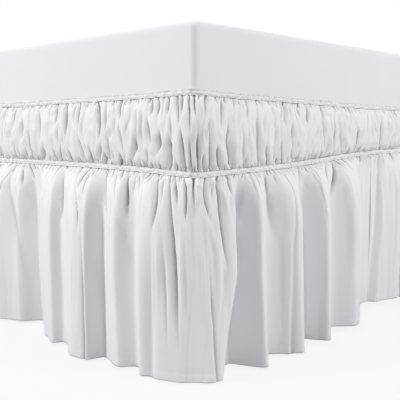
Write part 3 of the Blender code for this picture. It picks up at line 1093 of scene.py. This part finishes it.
PANEL_PUFF = (
    Puff(0.00, 0.00),
    Puff(0.02, 0.20),
    Puff(0.06, 0.42),
    Puff(0.14, 0.68),
    Puff(0.28, 0.92),
    Puff(0.45, 1.00),
    Puff(0.65, 0.90),
    Puff(0.80, 0.72),
    Puff(0.90, 0.50),
    Puff(0.97, 0.25),
    Puff(1.00, 0.00),
)


@dataclass(frozen=True)
class PuffedPanel:
    """The panel that puffs out between the two bands, gathered into both."""

    plan: SkirtPlan
    upper: Shirring
    lower: Shirring
    puff: float = 0.014
    thickness: float = 0.0009
    creasing: Crumple = Crumple(0.0034, 0.018, 0.034, 47)
    crinkling: Crumple = Crumple(0.0012, 0.0065, 0.014, 53)
    crinkling_depth: float = 0.016
    least_reach: float = 0.0012
    row_count: int = 33
    edge_crowding: float = 0.72
    fullness: float = 1.2
    flat_height: float = 0.16

    @cached_property
    def tucks(self) -> list[Crease]:
        """The random tucks below the top band and above the middle one."""
        return self.upper.creases() + self.lower.creases()

    def surface(self, places: Array, downs: Array, step: float) -> tuple[Array, Array]:
        """Rows of the panel: the outline at the puffed reach, with both edges' tucks, the creases and a
        crumple along its normal.

        Args:
            places: Places of the columns.
            downs: Shares of the panel's height at which the rows lie.
            step: Width of the columns.

        Returns:
            The points on a grid of rows and columns, and how deep each lies in a crease: the mask of the
            painted shade.
        """
        plan, loop = self.plan, self.plan.outline.loop
        place = np.broadcast_to(places, (len(downs), len(places)))
        top = plan.height(places, Line.BAND_TOP) - plan.top_band - plan.seam_gap
        low = plan.height(places, Line.MIDDLE_BAND) + plan.middle_band / 2 + plan.seam_gap
        height = top + (low - top) * downs[:, None]
        full = np.interp(downs, *zip(*PANEL_PUFF))[:, None]
        creased = crease_relief(PANEL_CREASES, places, height, loop, step)
        tucked = crease_relief(self.tucks, places, height, loop, step)
        crumpled = full * self.creasing.at(place, height, loop)
        edge = np.minimum(top - height, height - low)
        crinkled = fade(edge, self.crinkling_depth) * self.crinkling.at(place, height, loop)
        relief = creased + tucked + crumpled + crinkled
        # Mask of the painted shade: the finish darkens the cloth in narrow creases by it.
        painted_shade = painted_shade_mask(relief, step, CLOTH_SHADE_REACH, CLOTH_SHADE_DEPTH)
        path = plan.seam_reach + self.puff * full
        relief = np.maximum(relief, self.least_reach - path)
        return plan.outline.points(place, path, relief, height), painted_shade

    def build(self, length: ClothLength, finish: bpy.types.Material) -> bpy.types.Object:
        """Builds one length of the panel.

        Args:
            length: The length of cloth.
            finish: Its material.

        Returns:
            The piece.
        """
        even = np.linspace(-1.0, 1.0, self.row_count)
        crowded = np.sin(even * np.pi / 2)
        downs = 0.5 + 0.5 * (self.edge_crowding * crowded + (1.0 - self.edge_crowding) * even)
        columns = cloth_columns(length)
        points, painted_shade = self.surface(columns, downs, length.step)
        flat = np.meshgrid(columns * self.fullness, self.flat_height * (1.0 - downs))
        grid = ClothGrid(points, np.stack(flat, axis=-1), painted_shade)
        piece = make_sheet(f"puffed_panel_{length.name}", [grid], self.thickness)
        hand_over(piece, finish, CLOTH_SLOT, "upper_panel")
        return piece


# ---------------------------------------------------------------------------------------------------------
# The elastic bands


@dataclass(frozen=True)
class ElasticBand:
    """A narrow casing of shirred cloth over its elastic, which grips the bed. Its top edge lies at its rise
    above its line. Both edges are ragged where the gathers meet them, and the upper scallop is the share of
    that at the top edge."""

    name: str
    node: str
    plan: SkirtPlan
    line: Line
    rise: float
    height: float
    grooves: tuple[float, ...]
    thickness: float = 0.003
    shirr: float = 0.0011
    shirr_height: float = 0.004
    gather_pitch: float = 0.0062
    groove_depth: float = 0.0011
    groove_width: float = 0.0010
    step: float = 0.0018
    swell: float = 0.0004
    edge_radius: float = 0.0006
    edge_steps: int = 4
    face_steps: int = 12
    scallop: float = 0.0007
    scallop_height: float = 0.006
    upper_scallop: float = 1.0
    # Reach and depth of the mask of the painted shade in the band's narrow grooves and gathers.
    shade_reach: float = 0.004
    shade_depth: float = 0.0012
    fullness: float = 1.5
    seed: int = 71

    def section(self) -> tuple[Array, Array]:
        """The band's closed section, a flat bar with round edges.

        Returns:
            Distances below the top edge, and outward from the inner face.
        """
        r, deep, tall = self.edge_radius, self.thickness, self.height
        turn = np.linspace(0.0, np.pi / 2, self.edge_steps)
        down = np.linspace(r, tall - r, self.face_steps)[1:-1]
        near, far = r * (1.0 - np.cos(turn)), tall - r + r * np.sin(turn)
        below = np.concatenate([[0.0], near, down, far, [tall]])
        rounded = deep - r + r * np.sin(turn)
        out = np.concatenate([[0.0], rounded, np.full(len(down), deep), rounded[::-1], [0.0]])
        return below, out

    def build(self, finish: bpy.types.Material) -> bpy.types.Object:
        """Carries the section round the loop. Its outer face sinks at each stitched groove, swells between
        them and is shirred by fine uneven gathers.

        Args:
            finish: Its material.

        Returns:
            The piece.
        """
        outline = self.plan.outline
        section_below, out = self.section()
        count, cells = round(outline.loop / self.step), round(outline.loop / self.gather_pitch)
        places = np.linspace(0.0, outline.loop, count, endpoint=False)
        place, below = np.meshgrid(places, section_below)
        gather = place / outline.loop * cells
        shirred = self.shirr * lattice_noise(gather, below / self.shirr_height, self.seed, cells)
        nearness = np.min([np.abs(below - groove) for groove in self.grooves], axis=0)
        sunk = self.groove_depth * fade(nearness, self.groove_width)
        face = smooth_step(out / self.thickness * 2.0 - 1.0)[:, None]
        relief = face * (self.swell + shirred - sunk)
        # Mask of the painted shade: the finish darkens the band in its grooves and gathers by it.
        painted_shade = painted_shade_mask(relief, self.step, self.shade_reach, self.shade_depth)
        raised = out[:, None] - self.thickness + relief
        ragged = self.scallop * lattice_noise(gather, below / self.scallop_height, self.seed + 1, cells)
        ragged = ragged * between((self.upper_scallop, 1.0), below / self.height)
        height = self.plan.height(places, self.line) + self.rise - below + ragged
        points = outline.points(place, self.plan.seam_reach, raised, height).reshape(-1, 3)
        numbers = np.arange(place.size).reshape(place.shape)
        closed = np.pad(numbers, ((0, 1), (0, 1)), mode="wrap")
        quads = np.concatenate([row_quads(a, b) for a, b in zip(closed[:-1], closed[1:])])
        flat = np.stack([place * self.fullness, below], axis=-1).reshape(-1, 2)
        piece = make_piece(self.name, points, [quads], flat, painted_shade.ravel())
        hand_over(piece, finish, ELASTIC_SLOT, self.node)
        return piece


# ---------------------------------------------------------------------------------------------------------
# The bed


class Wrinkles(NamedTuple):
    """One size of the mattress cover's wrinkles: the size of the noise's cells along X, the height that
    slides them by one, the same two for Y, how many cells they start along X, and the noise's seed."""

    cell_x: float
    slide_x: float
    cell_y: float
    slide_y: float
    start: float
    seed: int

    def noise(self, points: Array) -> Array:
        """Soft noise on X and Y, both slid on by the height so that the upright faces have it too.

        Args:
            points: The points.

        Returns:
            Values between -1 and 1.
        """
        x, y, z = points.T
        across = x / self.cell_x + z / self.slide_x + self.start
        return lattice_noise(across, y / self.cell_y + z / self.slide_y, self.seed)


@dataclass(frozen=True)
class Mattress:
    """The covered mattress: a block with rounded edges and soft wrinkles in its tight cover."""

    node: str = "mattress"
    edge: float = 0.012
    cell: float = 0.018
    rim: float = 0.0192
    rim_steps: int = 5
    wrinkle: float = 0.0009
    broad: Wrinkles = Wrinkles(0.13, 0.11, 0.15, 0.19, 0.0, 5)
    fine: Wrinkles = Wrinkles(0.05, np.inf, 0.05, 0.06, 9.0, 6)
    fine_share: float = 0.4
    weld_reach: float = 0.0001

    def face_points(self, low: Array, high: Array, axis: int, sign: float) -> tuple[Array, Array]:
        """Points of one face of the block, on a grid that is closer at its rim.

        Args:
            low: The block's lowest corner.
            high: Its highest corner.
            axis: The axis that the face is square to.
            sign: Which of its two ends.

        Returns:
            Points on a grid, and the grid's own two coordinates in metres.
        """
        first, second = (axis + 1) % 3, (axis + 2) % 3
        turn = np.linspace(0.0, self.rim, self.rim_steps)[:-1]
        lines = []
        for i in (first, second):
            span = high[i] - low[i]
            inner = np.linspace(self.rim, span - self.rim, max(2, round(span / self.cell)))
            lines.append(low[i] + np.concatenate([turn, inner, span - turn[::-1]]))
        grid = np.meshgrid(*lines, indexing="ij")
        points = np.empty(grid[0].shape + (3,))
        points[..., first], points[..., second] = grid
        points[..., axis] = high[axis] if sign > 0 else low[axis]
        return points, np.stack(grid, axis=-1)

    def build(self, finish: bpy.types.Material) -> bpy.types.Object:
        """Six grids, each point drawn in to a block smaller by the edge's radius and pushed out again by that
        radius along the line between, less the soft noise of the wrinkles.

        Args:
            finish: Its material.

        Returns:
            The piece.
        """
        low, high = (np.array(corner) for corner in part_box(self.node))
        all_points, all_faces, all_uv, total = [], [], [], 0
        for axis in range(3):
            for sign in (-1.0, 1.0):
                points, uv = self.face_points(low, high, axis, sign)
                numbers = np.arange(points[..., 0].size).reshape(points.shape[:2]) + total
                quads = grid_quads(numbers)
                all_points.append(points.reshape(-1, 3))
                all_uv.append(uv.reshape(-1, 2))
                all_faces.append(quads if sign > 0 else quads[:, ::-1])
                total += numbers.size
        points = np.concatenate(all_points)
        core = np.clip(points, low + self.edge, high - self.edge)
        away = points - core
        normal = away / np.maximum(np.linalg.norm(away, axis=1, keepdims=True), 1e-9)
        broad, fine = self.broad.noise(points), self.fine.noise(points)
        mixed = (1.0 - self.fine_share) * broad + self.fine_share * fine
        rounded = core + normal * (self.edge + self.wrinkle * (mixed - 1.0))[:, None]
        piece = make_piece("mattress_cover", rounded, all_faces, np.concatenate(all_uv))
        weld = piece.modifiers.new("Joined edges", "WELD")
        weld.merge_threshold = self.weld_reach
        hand_over(piece, finish, MATTRESS_SLOT, self.node)
        return piece


# ---------------------------------------------------------------------------------------------------------
# Finishes


@dataclass(frozen=True)
class Graph:
    """A shader tree written node by node."""

    tree: bpy.types.NodeTree

    def node(self, kind: str, inputs: dict | None = None, **settings: object) -> bpy.types.Node:
        """Adds a node.

        Args:
            kind: Its type, without the word ShaderNode.
            inputs: Its sockets by name or number, each with a plain value or with a socket to link from.
            settings: Its own settings.

        Returns:
            The node.
        """
        made = self.tree.nodes.new("ShaderNode" + kind)
        for setting, value in settings.items():
            setattr(made, setting, value)
        self.feed(made, inputs or {})
        return made

    def feed(self, node: bpy.types.Node, inputs: dict) -> None:
        """Gives a node's sockets their values.

        Args:
            node: The node.
            inputs: Its sockets by name or number, each with a plain value or with a socket to link from.
        """
        for socket, value in inputs.items():
            if isinstance(value, bpy.types.NodeSocket):
                self.tree.links.new(value, node.inputs[socket])
            else:
                node.inputs[socket].default_value = value

    def math(self, operation: str, *values: object) -> bpy.types.NodeSocket:
        """Adds a Math node and gives its result.

        Args:
            operation: The node's operation.
            values: Its inputs, in order.

        Returns:
            The result's socket.
        """
        return self.node("Math", dict(enumerate(values)), operation=operation).outputs[0]

    def group(self, made: bpy.types.NodeTree, inputs: dict) -> bpy.types.NodeSocket:
        """Places a node group with its own values and gives its result.

        Args:
            made: The group.
            inputs: Its inputs by name.

        Returns:
            The socket of the group's first output.
        """
        node = self.tree.nodes.new("ShaderNodeGroup")
        node.node_tree = made
        self.feed(node, inputs)
        return node.outputs[0]

    def noise(self, place: bpy.types.NodeSocket, scale: object, detail: float) -> bpy.types.NodeSocket:
        """Adds a Noise Texture node and gives its value."""
        return self.node("TexNoise", {"Vector": place, "Scale": scale, "Detail": detail}).outputs[0]

    def blend(self, share: object, first: object, second: object) -> bpy.types.NodeSocket:
        """Mixes two colours and gives the result.

        Args:
            share: Share of the second colour.
            first: A colour as a socket or as three numbers.
            second: The same.

        Returns:
            The result's socket.
        """
        colours = [(*colour, 1.0) if isinstance(colour, tuple) else colour for colour in (first, second)]
        inputs = {"Factor": share, 6: colours[0], 7: colours[1]}
        return self.node("Mix", inputs, data_type="RGBA").outputs[2]


def new_material(name: str) -> tuple[bpy.types.Material, Graph]:
    """Starts a material and gives it with its shader tree."""
    material = bpy.data.materials.new(name)
    material.use_nodes = True
    return material, Graph(material.node_tree)


def new_group(name: str, inputs: dict[str, float], output: str) -> tuple[Graph, dict, bpy.types.NodeSocket]:
    """Starts a shader node group that gives one number.

    Args:
        name: The group's name.
        inputs: Its inputs' names and default values; a name that ends in UV is a vector.
        output: Its output's name.

    Returns:
        The graph to write in, the sockets that bring the inputs, and the one that takes the output.
    """
    tree = bpy.data.node_groups.new(name, "ShaderNodeTree")
    for label, value in inputs.items():
        kind = "NodeSocketVector" if label.endswith("UV") else "NodeSocketFloat"
        socket = tree.interface.new_socket(label, in_out="INPUT", socket_type=kind)
        if kind == "NodeSocketFloat":
            socket.default_value = value
    tree.interface.new_socket(output, in_out="OUTPUT", socket_type="NodeSocketFloat")
    given = tree.nodes.new("NodeGroupInput")
    taken = tree.nodes.new("NodeGroupOutput")
    return Graph(tree), {label: given.outputs[label] for label in inputs}, taken.inputs[output]


UNDER_THREAD = 0.45
SLUB_RUN = 60.0
SLUB_WIDTH = 1500.0


def weave_group() -> bpy.types.NodeTree:
    """Plain weave: crests of |sin| run along each thread, and a checker of the two threads' numbers says
    which one lies on top. The one below is UNDER_THREAD as high. Noise with SLUB_RUN cells in a metre along
    a thread and SLUB_WIDTH across it makes some threads thicker.

    Returns:
        The group, with a Height output.
    """
    graph, given, height = new_group("Plain weave", {"UV": 0.0, "Threads": 1800.0, "Slub": 0.35}, "Height")
    parts = graph.node("SeparateXYZ", {0: given["UV"]})
    across, along = (graph.math("MULTIPLY", parts.outputs[i], given["Threads"]) for i in (0, 1))
    cells = graph.math("ADD", graph.math("FLOOR", across), graph.math("FLOOR", along))
    checker = graph.math("MODULO", graph.math("ABSOLUTE", cells), 2.0)
    over = graph.math("MULTIPLY", checker, 1.0 - UNDER_THREAD)
    shares = (graph.math("SUBTRACT", 1.0, over), graph.math("ADD", UNDER_THREAD, over))
    threads = []
    for place, share in zip((across, along), shares):
        crest = graph.math("ABSOLUTE", graph.math("SINE", graph.math("MULTIPLY", place, np.pi)))
        threads.append(graph.math("MULTIPLY", crest, share))
    slubs = []
    for stretch in ((SLUB_RUN, SLUB_WIDTH, 1.0), (SLUB_WIDTH, SLUB_RUN, 1.0)):
        stretched = graph.node("VectorMath", {0: given["UV"], 1: stretch}, operation="MULTIPLY")
        slubs.append(graph.noise(stretched.outputs[0], 1.0, 1.0))
    slub = graph.math("MULTIPLY", graph.math("ADD", *slubs), given["Slub"])
    graph.tree.links.new(graph.math("ADD", graph.math("MAXIMUM", *threads), slub), height)
    return graph.tree


FINE_BLOTCHES = 7.0


def mottle_group() -> bpy.types.NodeTree:
    """Soft blotches on two scales, in the object's own metres.

    Returns:
        The group, with a Tone output about 0.
    """
    graph, given, tone = new_group("Mottle", {"Size": 0.12, "Fine": 0.3}, "Tone")
    place = graph.node("TexCoord").outputs["Object"]
    scale = graph.math("DIVIDE", 1.0, given["Size"])
    broad = graph.math("SUBTRACT", graph.noise(place, scale, 2.0), 0.5)
    fine = graph.noise(place, graph.math("MULTIPLY", scale, FINE_BLOTCHES), 3.0)
    fine = graph.math("MULTIPLY", graph.math("SUBTRACT", fine, 0.5), given["Fine"])
    graph.tree.links.new(graph.math("ADD", broad, fine), tone)
    return graph.tree


@dataclass(frozen=True)
class ClothFinish:
    """White plain-weave cloth with a faint nap. The blotch is the size of its blotches in metres, the
    contrast how far they shift its tone, and the nap the height of its fine crumple."""

    name: str
    light: Colour
    dark: Colour
    roughness: float
    threads: float
    weave_relief: float
    blotch: float
    contrast: float
    sheen: float
    nap: float
    # Painted shade in narrow creases: the colour that the crease mask darkens the cloth towards, and the
    # share of it at full depth.
    painted_shade_colour: Colour = (0.17, 0.17, 0.20)
    painted_shade_share: float = 0.85
    # Painted light and shade of the weave: the weave height at which the colour is unchanged, and how far the
    # height above or below it lightens or darkens the colour.
    weave_shade_level: float = 0.9
    weave_shade_gain: float = 0.25
    rough_drift: float = 0.12
    nap_scale: float = 85.0
    nap_strength: float = 0.35
    weave_strength: float = 0.5
    sheen_roughness: float = 0.6
    specular: float = 0.25

    def make(self, weave: bpy.types.NodeTree, mottle: bpy.types.NodeTree) -> bpy.types.Material:
        """The material: blotches shift the colour between its light and dark tones, the weave's height
        lightens it on the raised threads and darkens it between them as painted light and shade, painted
        shade darkens narrow creases, and the weave and a fine crumple feed the bump.

        Args:
            weave: The weave's group.
            mottle: The blotches' group.

        Returns:
            The material.
        """
        material, graph = new_material(self.name)
        uv = graph.node("UVMap").outputs[0]
        place = graph.node("TexCoord").outputs["Object"]
        woven = graph.group(weave, {"UV": uv, "Threads": self.threads})
        tone = graph.group(mottle, {"Size": self.blotch})
        mixed = graph.math("ADD", 0.5, graph.math("MULTIPLY", tone, self.contrast))
        # Painted light and shade of the weave: lighter where the weave stands above its level, darker where
        # it lies below.
        thread = graph.math("MULTIPLY", graph.math("SUBTRACT", woven, self.weave_shade_level), self.weave_shade_gain)
        share = graph.node("Clamp", {0: graph.math("ADD", mixed, thread)}).outputs[0]
        # Painted shade: the crease mask darkens the colour towards the shade colour, by its share.
        depth = graph.node("Attribute", attribute_name=PAINTED_SHADE_ATTRIBUTE).outputs["Fac"]
        deep = graph.math("MULTIPLY", depth, self.painted_shade_share)
        crumpled = graph.noise(place, self.nap_scale, 3.0)
        nap = {"Strength": self.nap_strength, "Distance": self.nap, "Height": crumpled}
        threads = {"Strength": self.weave_strength, "Distance": self.weave_relief, "Height": woven}
        bumped = graph.node("Bump", {**threads, "Normal": graph.node("Bump", nap).outputs[0]})
        finish = {
            # Base colour: the blotched tones, with the painted crease shade over them.
            "Base Color": graph.blend(deep, graph.blend(share, self.dark, self.light), self.painted_shade_colour),
            "Roughness": graph.math("ADD", self.roughness, graph.math("MULTIPLY", tone, self.rough_drift)),
            "Normal": bumped.outputs[0],
            "Sheen Weight": self.sheen,
            "Sheen Roughness": self.sheen_roughness,
            "Specular IOR Level": self.specular,
        }
        graph.feed(graph.tree.nodes["Principled BSDF"], finish)
        return material


SKIRT_CLOTH = ClothFinish(
    name="white_skirt_cloth",
    light=(0.90, 0.90, 0.925),
    dark=(0.84, 0.84, 0.87),
    roughness=0.86,
    threads=1900.0,
    weave_relief=0.00006,
    blotch=0.10,
    contrast=0.5,
    sheen=0.12,
    nap=0.0006,
)
ELASTIC_CASING = ClothFinish(
    name="white_elastic_casing",
    light=(0.88, 0.88, 0.90),
    dark=(0.80, 0.80, 0.83),
    roughness=0.82,
    threads=1500.0,
    weave_relief=0.00008,
    blotch=0.03,
    contrast=0.5,
    sheen=0.08,
    nap=0.0003,
)
MATTRESS_COVER = ClothFinish(
    name="white_mattress_cover",
    light=(0.86, 0.86, 0.885),
    dark=(0.82, 0.82, 0.85),
    roughness=0.88,
    threads=1400.0,
    weave_relief=0.00008,
    blotch=0.16,
    contrast=0.7,
    sheen=0.10,
    nap=0.0004,
)


@dataclass(frozen=True)
class WoodFinish:
    """Oiled wood whose grain runs the way in which its noise is stretched least."""

    name: str
    stretch: tuple[float, float, float]
    light: Colour = (0.50, 0.34, 0.20)
    dark: Colour = (0.30, 0.19, 0.10)
    ring_share: float = 0.8
    ring_bend: float = 0.6
    pore_share: float = 0.3
    pore_scale: float = 6.0
    roughness: float = 0.5
    rough_drift: float = 0.2
    relief: float = 0.0006
    relief_strength: float = 0.4

    def make(self) -> bpy.types.Material:
        """The material: noise stretched along the grain gives the colour, the roughness and the bump.

        Returns:
            The material.
        """
        material, graph = new_material(self.name)
        place = graph.node("TexCoord").outputs["Object"]
        stretched = graph.node("Mapping", {"Vector": place, "Scale": self.stretch}).outputs[0]
        bent = {"Vector": stretched, "Scale": 1.0, "Detail": 4.0, "Distortion": self.ring_bend}
        rings = graph.math("MULTIPLY", graph.node("TexNoise", bent).outputs[0], self.ring_share)
        pores = graph.noise(stretched, self.pore_scale, 2.0)
        share = graph.math("ADD", rings, graph.math("MULTIPLY", pores, self.pore_share))
        bump = {"Strength": self.relief_strength, "Distance": self.relief, "Height": share}
        finish = {
            "Base Color": graph.blend(share, self.dark, self.light),
            "Roughness": graph.math("ADD", self.roughness, graph.math("MULTIPLY", pores, self.rough_drift)),
            "Normal": graph.node("Bump", bump).outputs[0],
        }
        graph.feed(graph.tree.nodes["Principled BSDF"], finish)
        return material


BOARDS = WoodFinish("oiled_wood_base", stretch=(40.0, 3.0, 40.0))
POSTS = WoodFinish("oiled_wood_legs", stretch=(40.0, 40.0, 3.0))


# ---------------------------------------------------------------------------------------------------------
# Floor, light and camera


@dataclass(frozen=True)
class SoftLight:
    """One soft square lamp, aimed at a point."""

    name: str
    place: Point
    target: Point
    size: float
    power: float

    def build(self) -> None:
        """Adds the lamp."""
        data = bpy.data.lights.new(self.name, "AREA")
        data.shape = "SQUARE"
        data.size = self.size
        data.energy = self.power
        lamp = bpy.data.objects.new(self.name, data)
        lamp.location = self.place
        toward = np.subtract(self.target, self.place)
        flat = np.hypot(toward[0], toward[1])
        lamp.rotation_euler = (np.arctan2(flat, -toward[2]), 0.0, np.arctan2(-toward[0], toward[1]))
        bpy.context.scene.collection.objects.link(lamp)


@dataclass(frozen=True)
class Studio:
    """The pale floor, the soft lamps and the white surroundings."""

    floor_half: float = 9.0
    floor_cells: int = 8
    floor_colour: Colour = (0.50, 0.50, 0.51)
    backdrop: float = 1.0
    surround: float = 0.47
    floor_glow: float = 0.88
    lamps: tuple[SoftLight, ...] = (
        SoftLight("key", (-1.3, -3.7, 3.3), (0.3, -0.9, 0.35), 0.5, 116.0),
        SoftLight("fill", (3.5, 0.5, 2.8), (0.5, -0.5, 0.35), 0.8, 78.0),
    )

    def build(self) -> None:
        """Adds the floor, the lamps and the surroundings, which look whiter than the light they give."""
        self.build_floor()
        for lamp in self.lamps:
            lamp.build()
        self.build_surroundings()
        bpy.context.scene.view_settings.view_transform = "Standard"

    def build_floor(self) -> None:
        """Adds the floor, a level grid that glows a little where it is seen."""
        grid = np.linspace(-self.floor_half, self.floor_half, self.floor_cells + 1)
        x, y = np.meshgrid(grid, grid, indexing="ij")
        points = np.stack([x, y, np.zeros_like(x)], axis=-1).reshape(-1, 3)
        numbers = np.arange(x.size).reshape(x.shape)
        floor = make_piece("floor", points, [grid_quads(numbers)], points[:, :2])
        pale, graph = new_material("pale_floor")
        shader = graph.tree.nodes["Principled BSDF"]
        plain = {"Base Color": (*self.floor_colour, 1.0), "Roughness": 0.9, "Specular IOR Level": 0.1}
        graph.feed(shader, plain)
        seen = graph.node("LightPath").outputs["Is Camera Ray"]
        share = graph.math("MULTIPLY", seen, self.floor_glow)
        glow = graph.node("Emission", {"Color": (1.0, 1.0, 1.0, 1.0), "Strength": self.backdrop})
        mixed = graph.node("MixShader", {0: share, 1: shader.outputs[0], 2: glow.outputs[0]})
        graph.feed(graph.tree.nodes["Material Output"], {0: mixed.outputs[0]})
        floor.data.materials.append(pale)

    def build_surroundings(self) -> None:
        """Adds the world, white all round."""
        world = bpy.data.worlds.new("soft_white")
        world.use_nodes = True
        bpy.context.scene.world = world
        graph = Graph(world.node_tree)
        world.node_tree.nodes.clear()
        seen = graph.node("LightPath").outputs["Is Camera Ray"]
        strength = graph.node("MapRange", {0: seen, 3: self.surround, 4: self.backdrop}).outputs[0]
        glow = graph.node("Background", {"Color": (1.0, 1.0, 1.0, 1.0), "Strength": strength})
        graph.node("OutputWorld", {0: glow.outputs[0]})


@dataclass(frozen=True)
class PhotoCamera:
    """The camera at the photograph's viewing angle."""

    place: Point = (1.310, -1.798, 0.4893)
    down_deg: float = 6.8815
    turn_deg: float = 43.383
    focal: float = 57.717
    sensor: float = 36.0

    def build(self) -> None:
        """Adds the camera and makes it the scene's."""
        data = bpy.data.cameras.new("camera")
        data.sensor_width = self.sensor
        data.lens = self.focal
        camera = bpy.data.objects.new("camera", data)
        camera.location = self.place
        camera.rotation_euler = (np.radians(90.0 - self.down_deg), 0.0, np.radians(self.turn_deg))
        bpy.context.scene.collection.objects.link(camera)
        bpy.context.scene.camera = camera


# ---------------------------------------------------------------------------------------------------------
# The whole


def main() -> None:
    """Builds the pieces in order."""
    logging.basicConfig(level=logging.INFO, format="%(message)s")
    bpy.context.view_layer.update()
    PhotoCamera().build()
    Studio().build()

    weave, mottle = weave_group(), mottle_group()
    cloth = SKIRT_CLOTH.make(weave, mottle)
    elastic = ELASTIC_CASING.make(weave, mottle)
    Mattress().build(MATTRESS_COVER.make(weave, mottle))

    plan = SkirtPlan(BedOutline.of_node("mattress", Mattress.edge))
    half = plan.middle_band / 2
    ElasticBand(
        "band_top",
        "top_band",
        plan,
        Line.BAND_TOP,
        rise=0.0,
        height=plan.top_band,
        grooves=(0.0042, 0.0112),
        upper_scallop=0.15,
    ).build(elastic)
    ElasticBand(
        "band_middle",
        "middle_band",
        plan,
        Line.MIDDLE_BAND,
        rise=half,
        height=plan.middle_band,
        grooves=(0.0016, 0.0086),
    ).build(elastic)

    under_top = Shirring(plan, Line.BAND_TOP, -plan.top_band, -1.0, PANEL_TUCKS, seed=21)
    over_middle = Shirring(plan, Line.MIDDLE_BAND, half, 1.0, PANEL_TUCKS, seed=23)
    under_middle = Shirring(plan, Line.MIDDLE_BAND, -half, -1.0, DROP_TUCKS, seed=27)
    panel = PuffedPanel(plan, under_top, over_middle)
    drop = Drop(plan, under_middle)
    for length in LENGTHS:
        panel.build(length, cloth)
        drop.build(length, cloth)

    boards, posts = BOARDS.make(), POSTS.make()
    for name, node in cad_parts.items():
        if name == "bed_base" or name.startswith("leg_"):
            node.data.materials.clear()
            node.data.materials.append(boards if name == "bed_base" else posts)
            LOG.info("%s: wood", name)


if __name__ == "__main__":
    main()
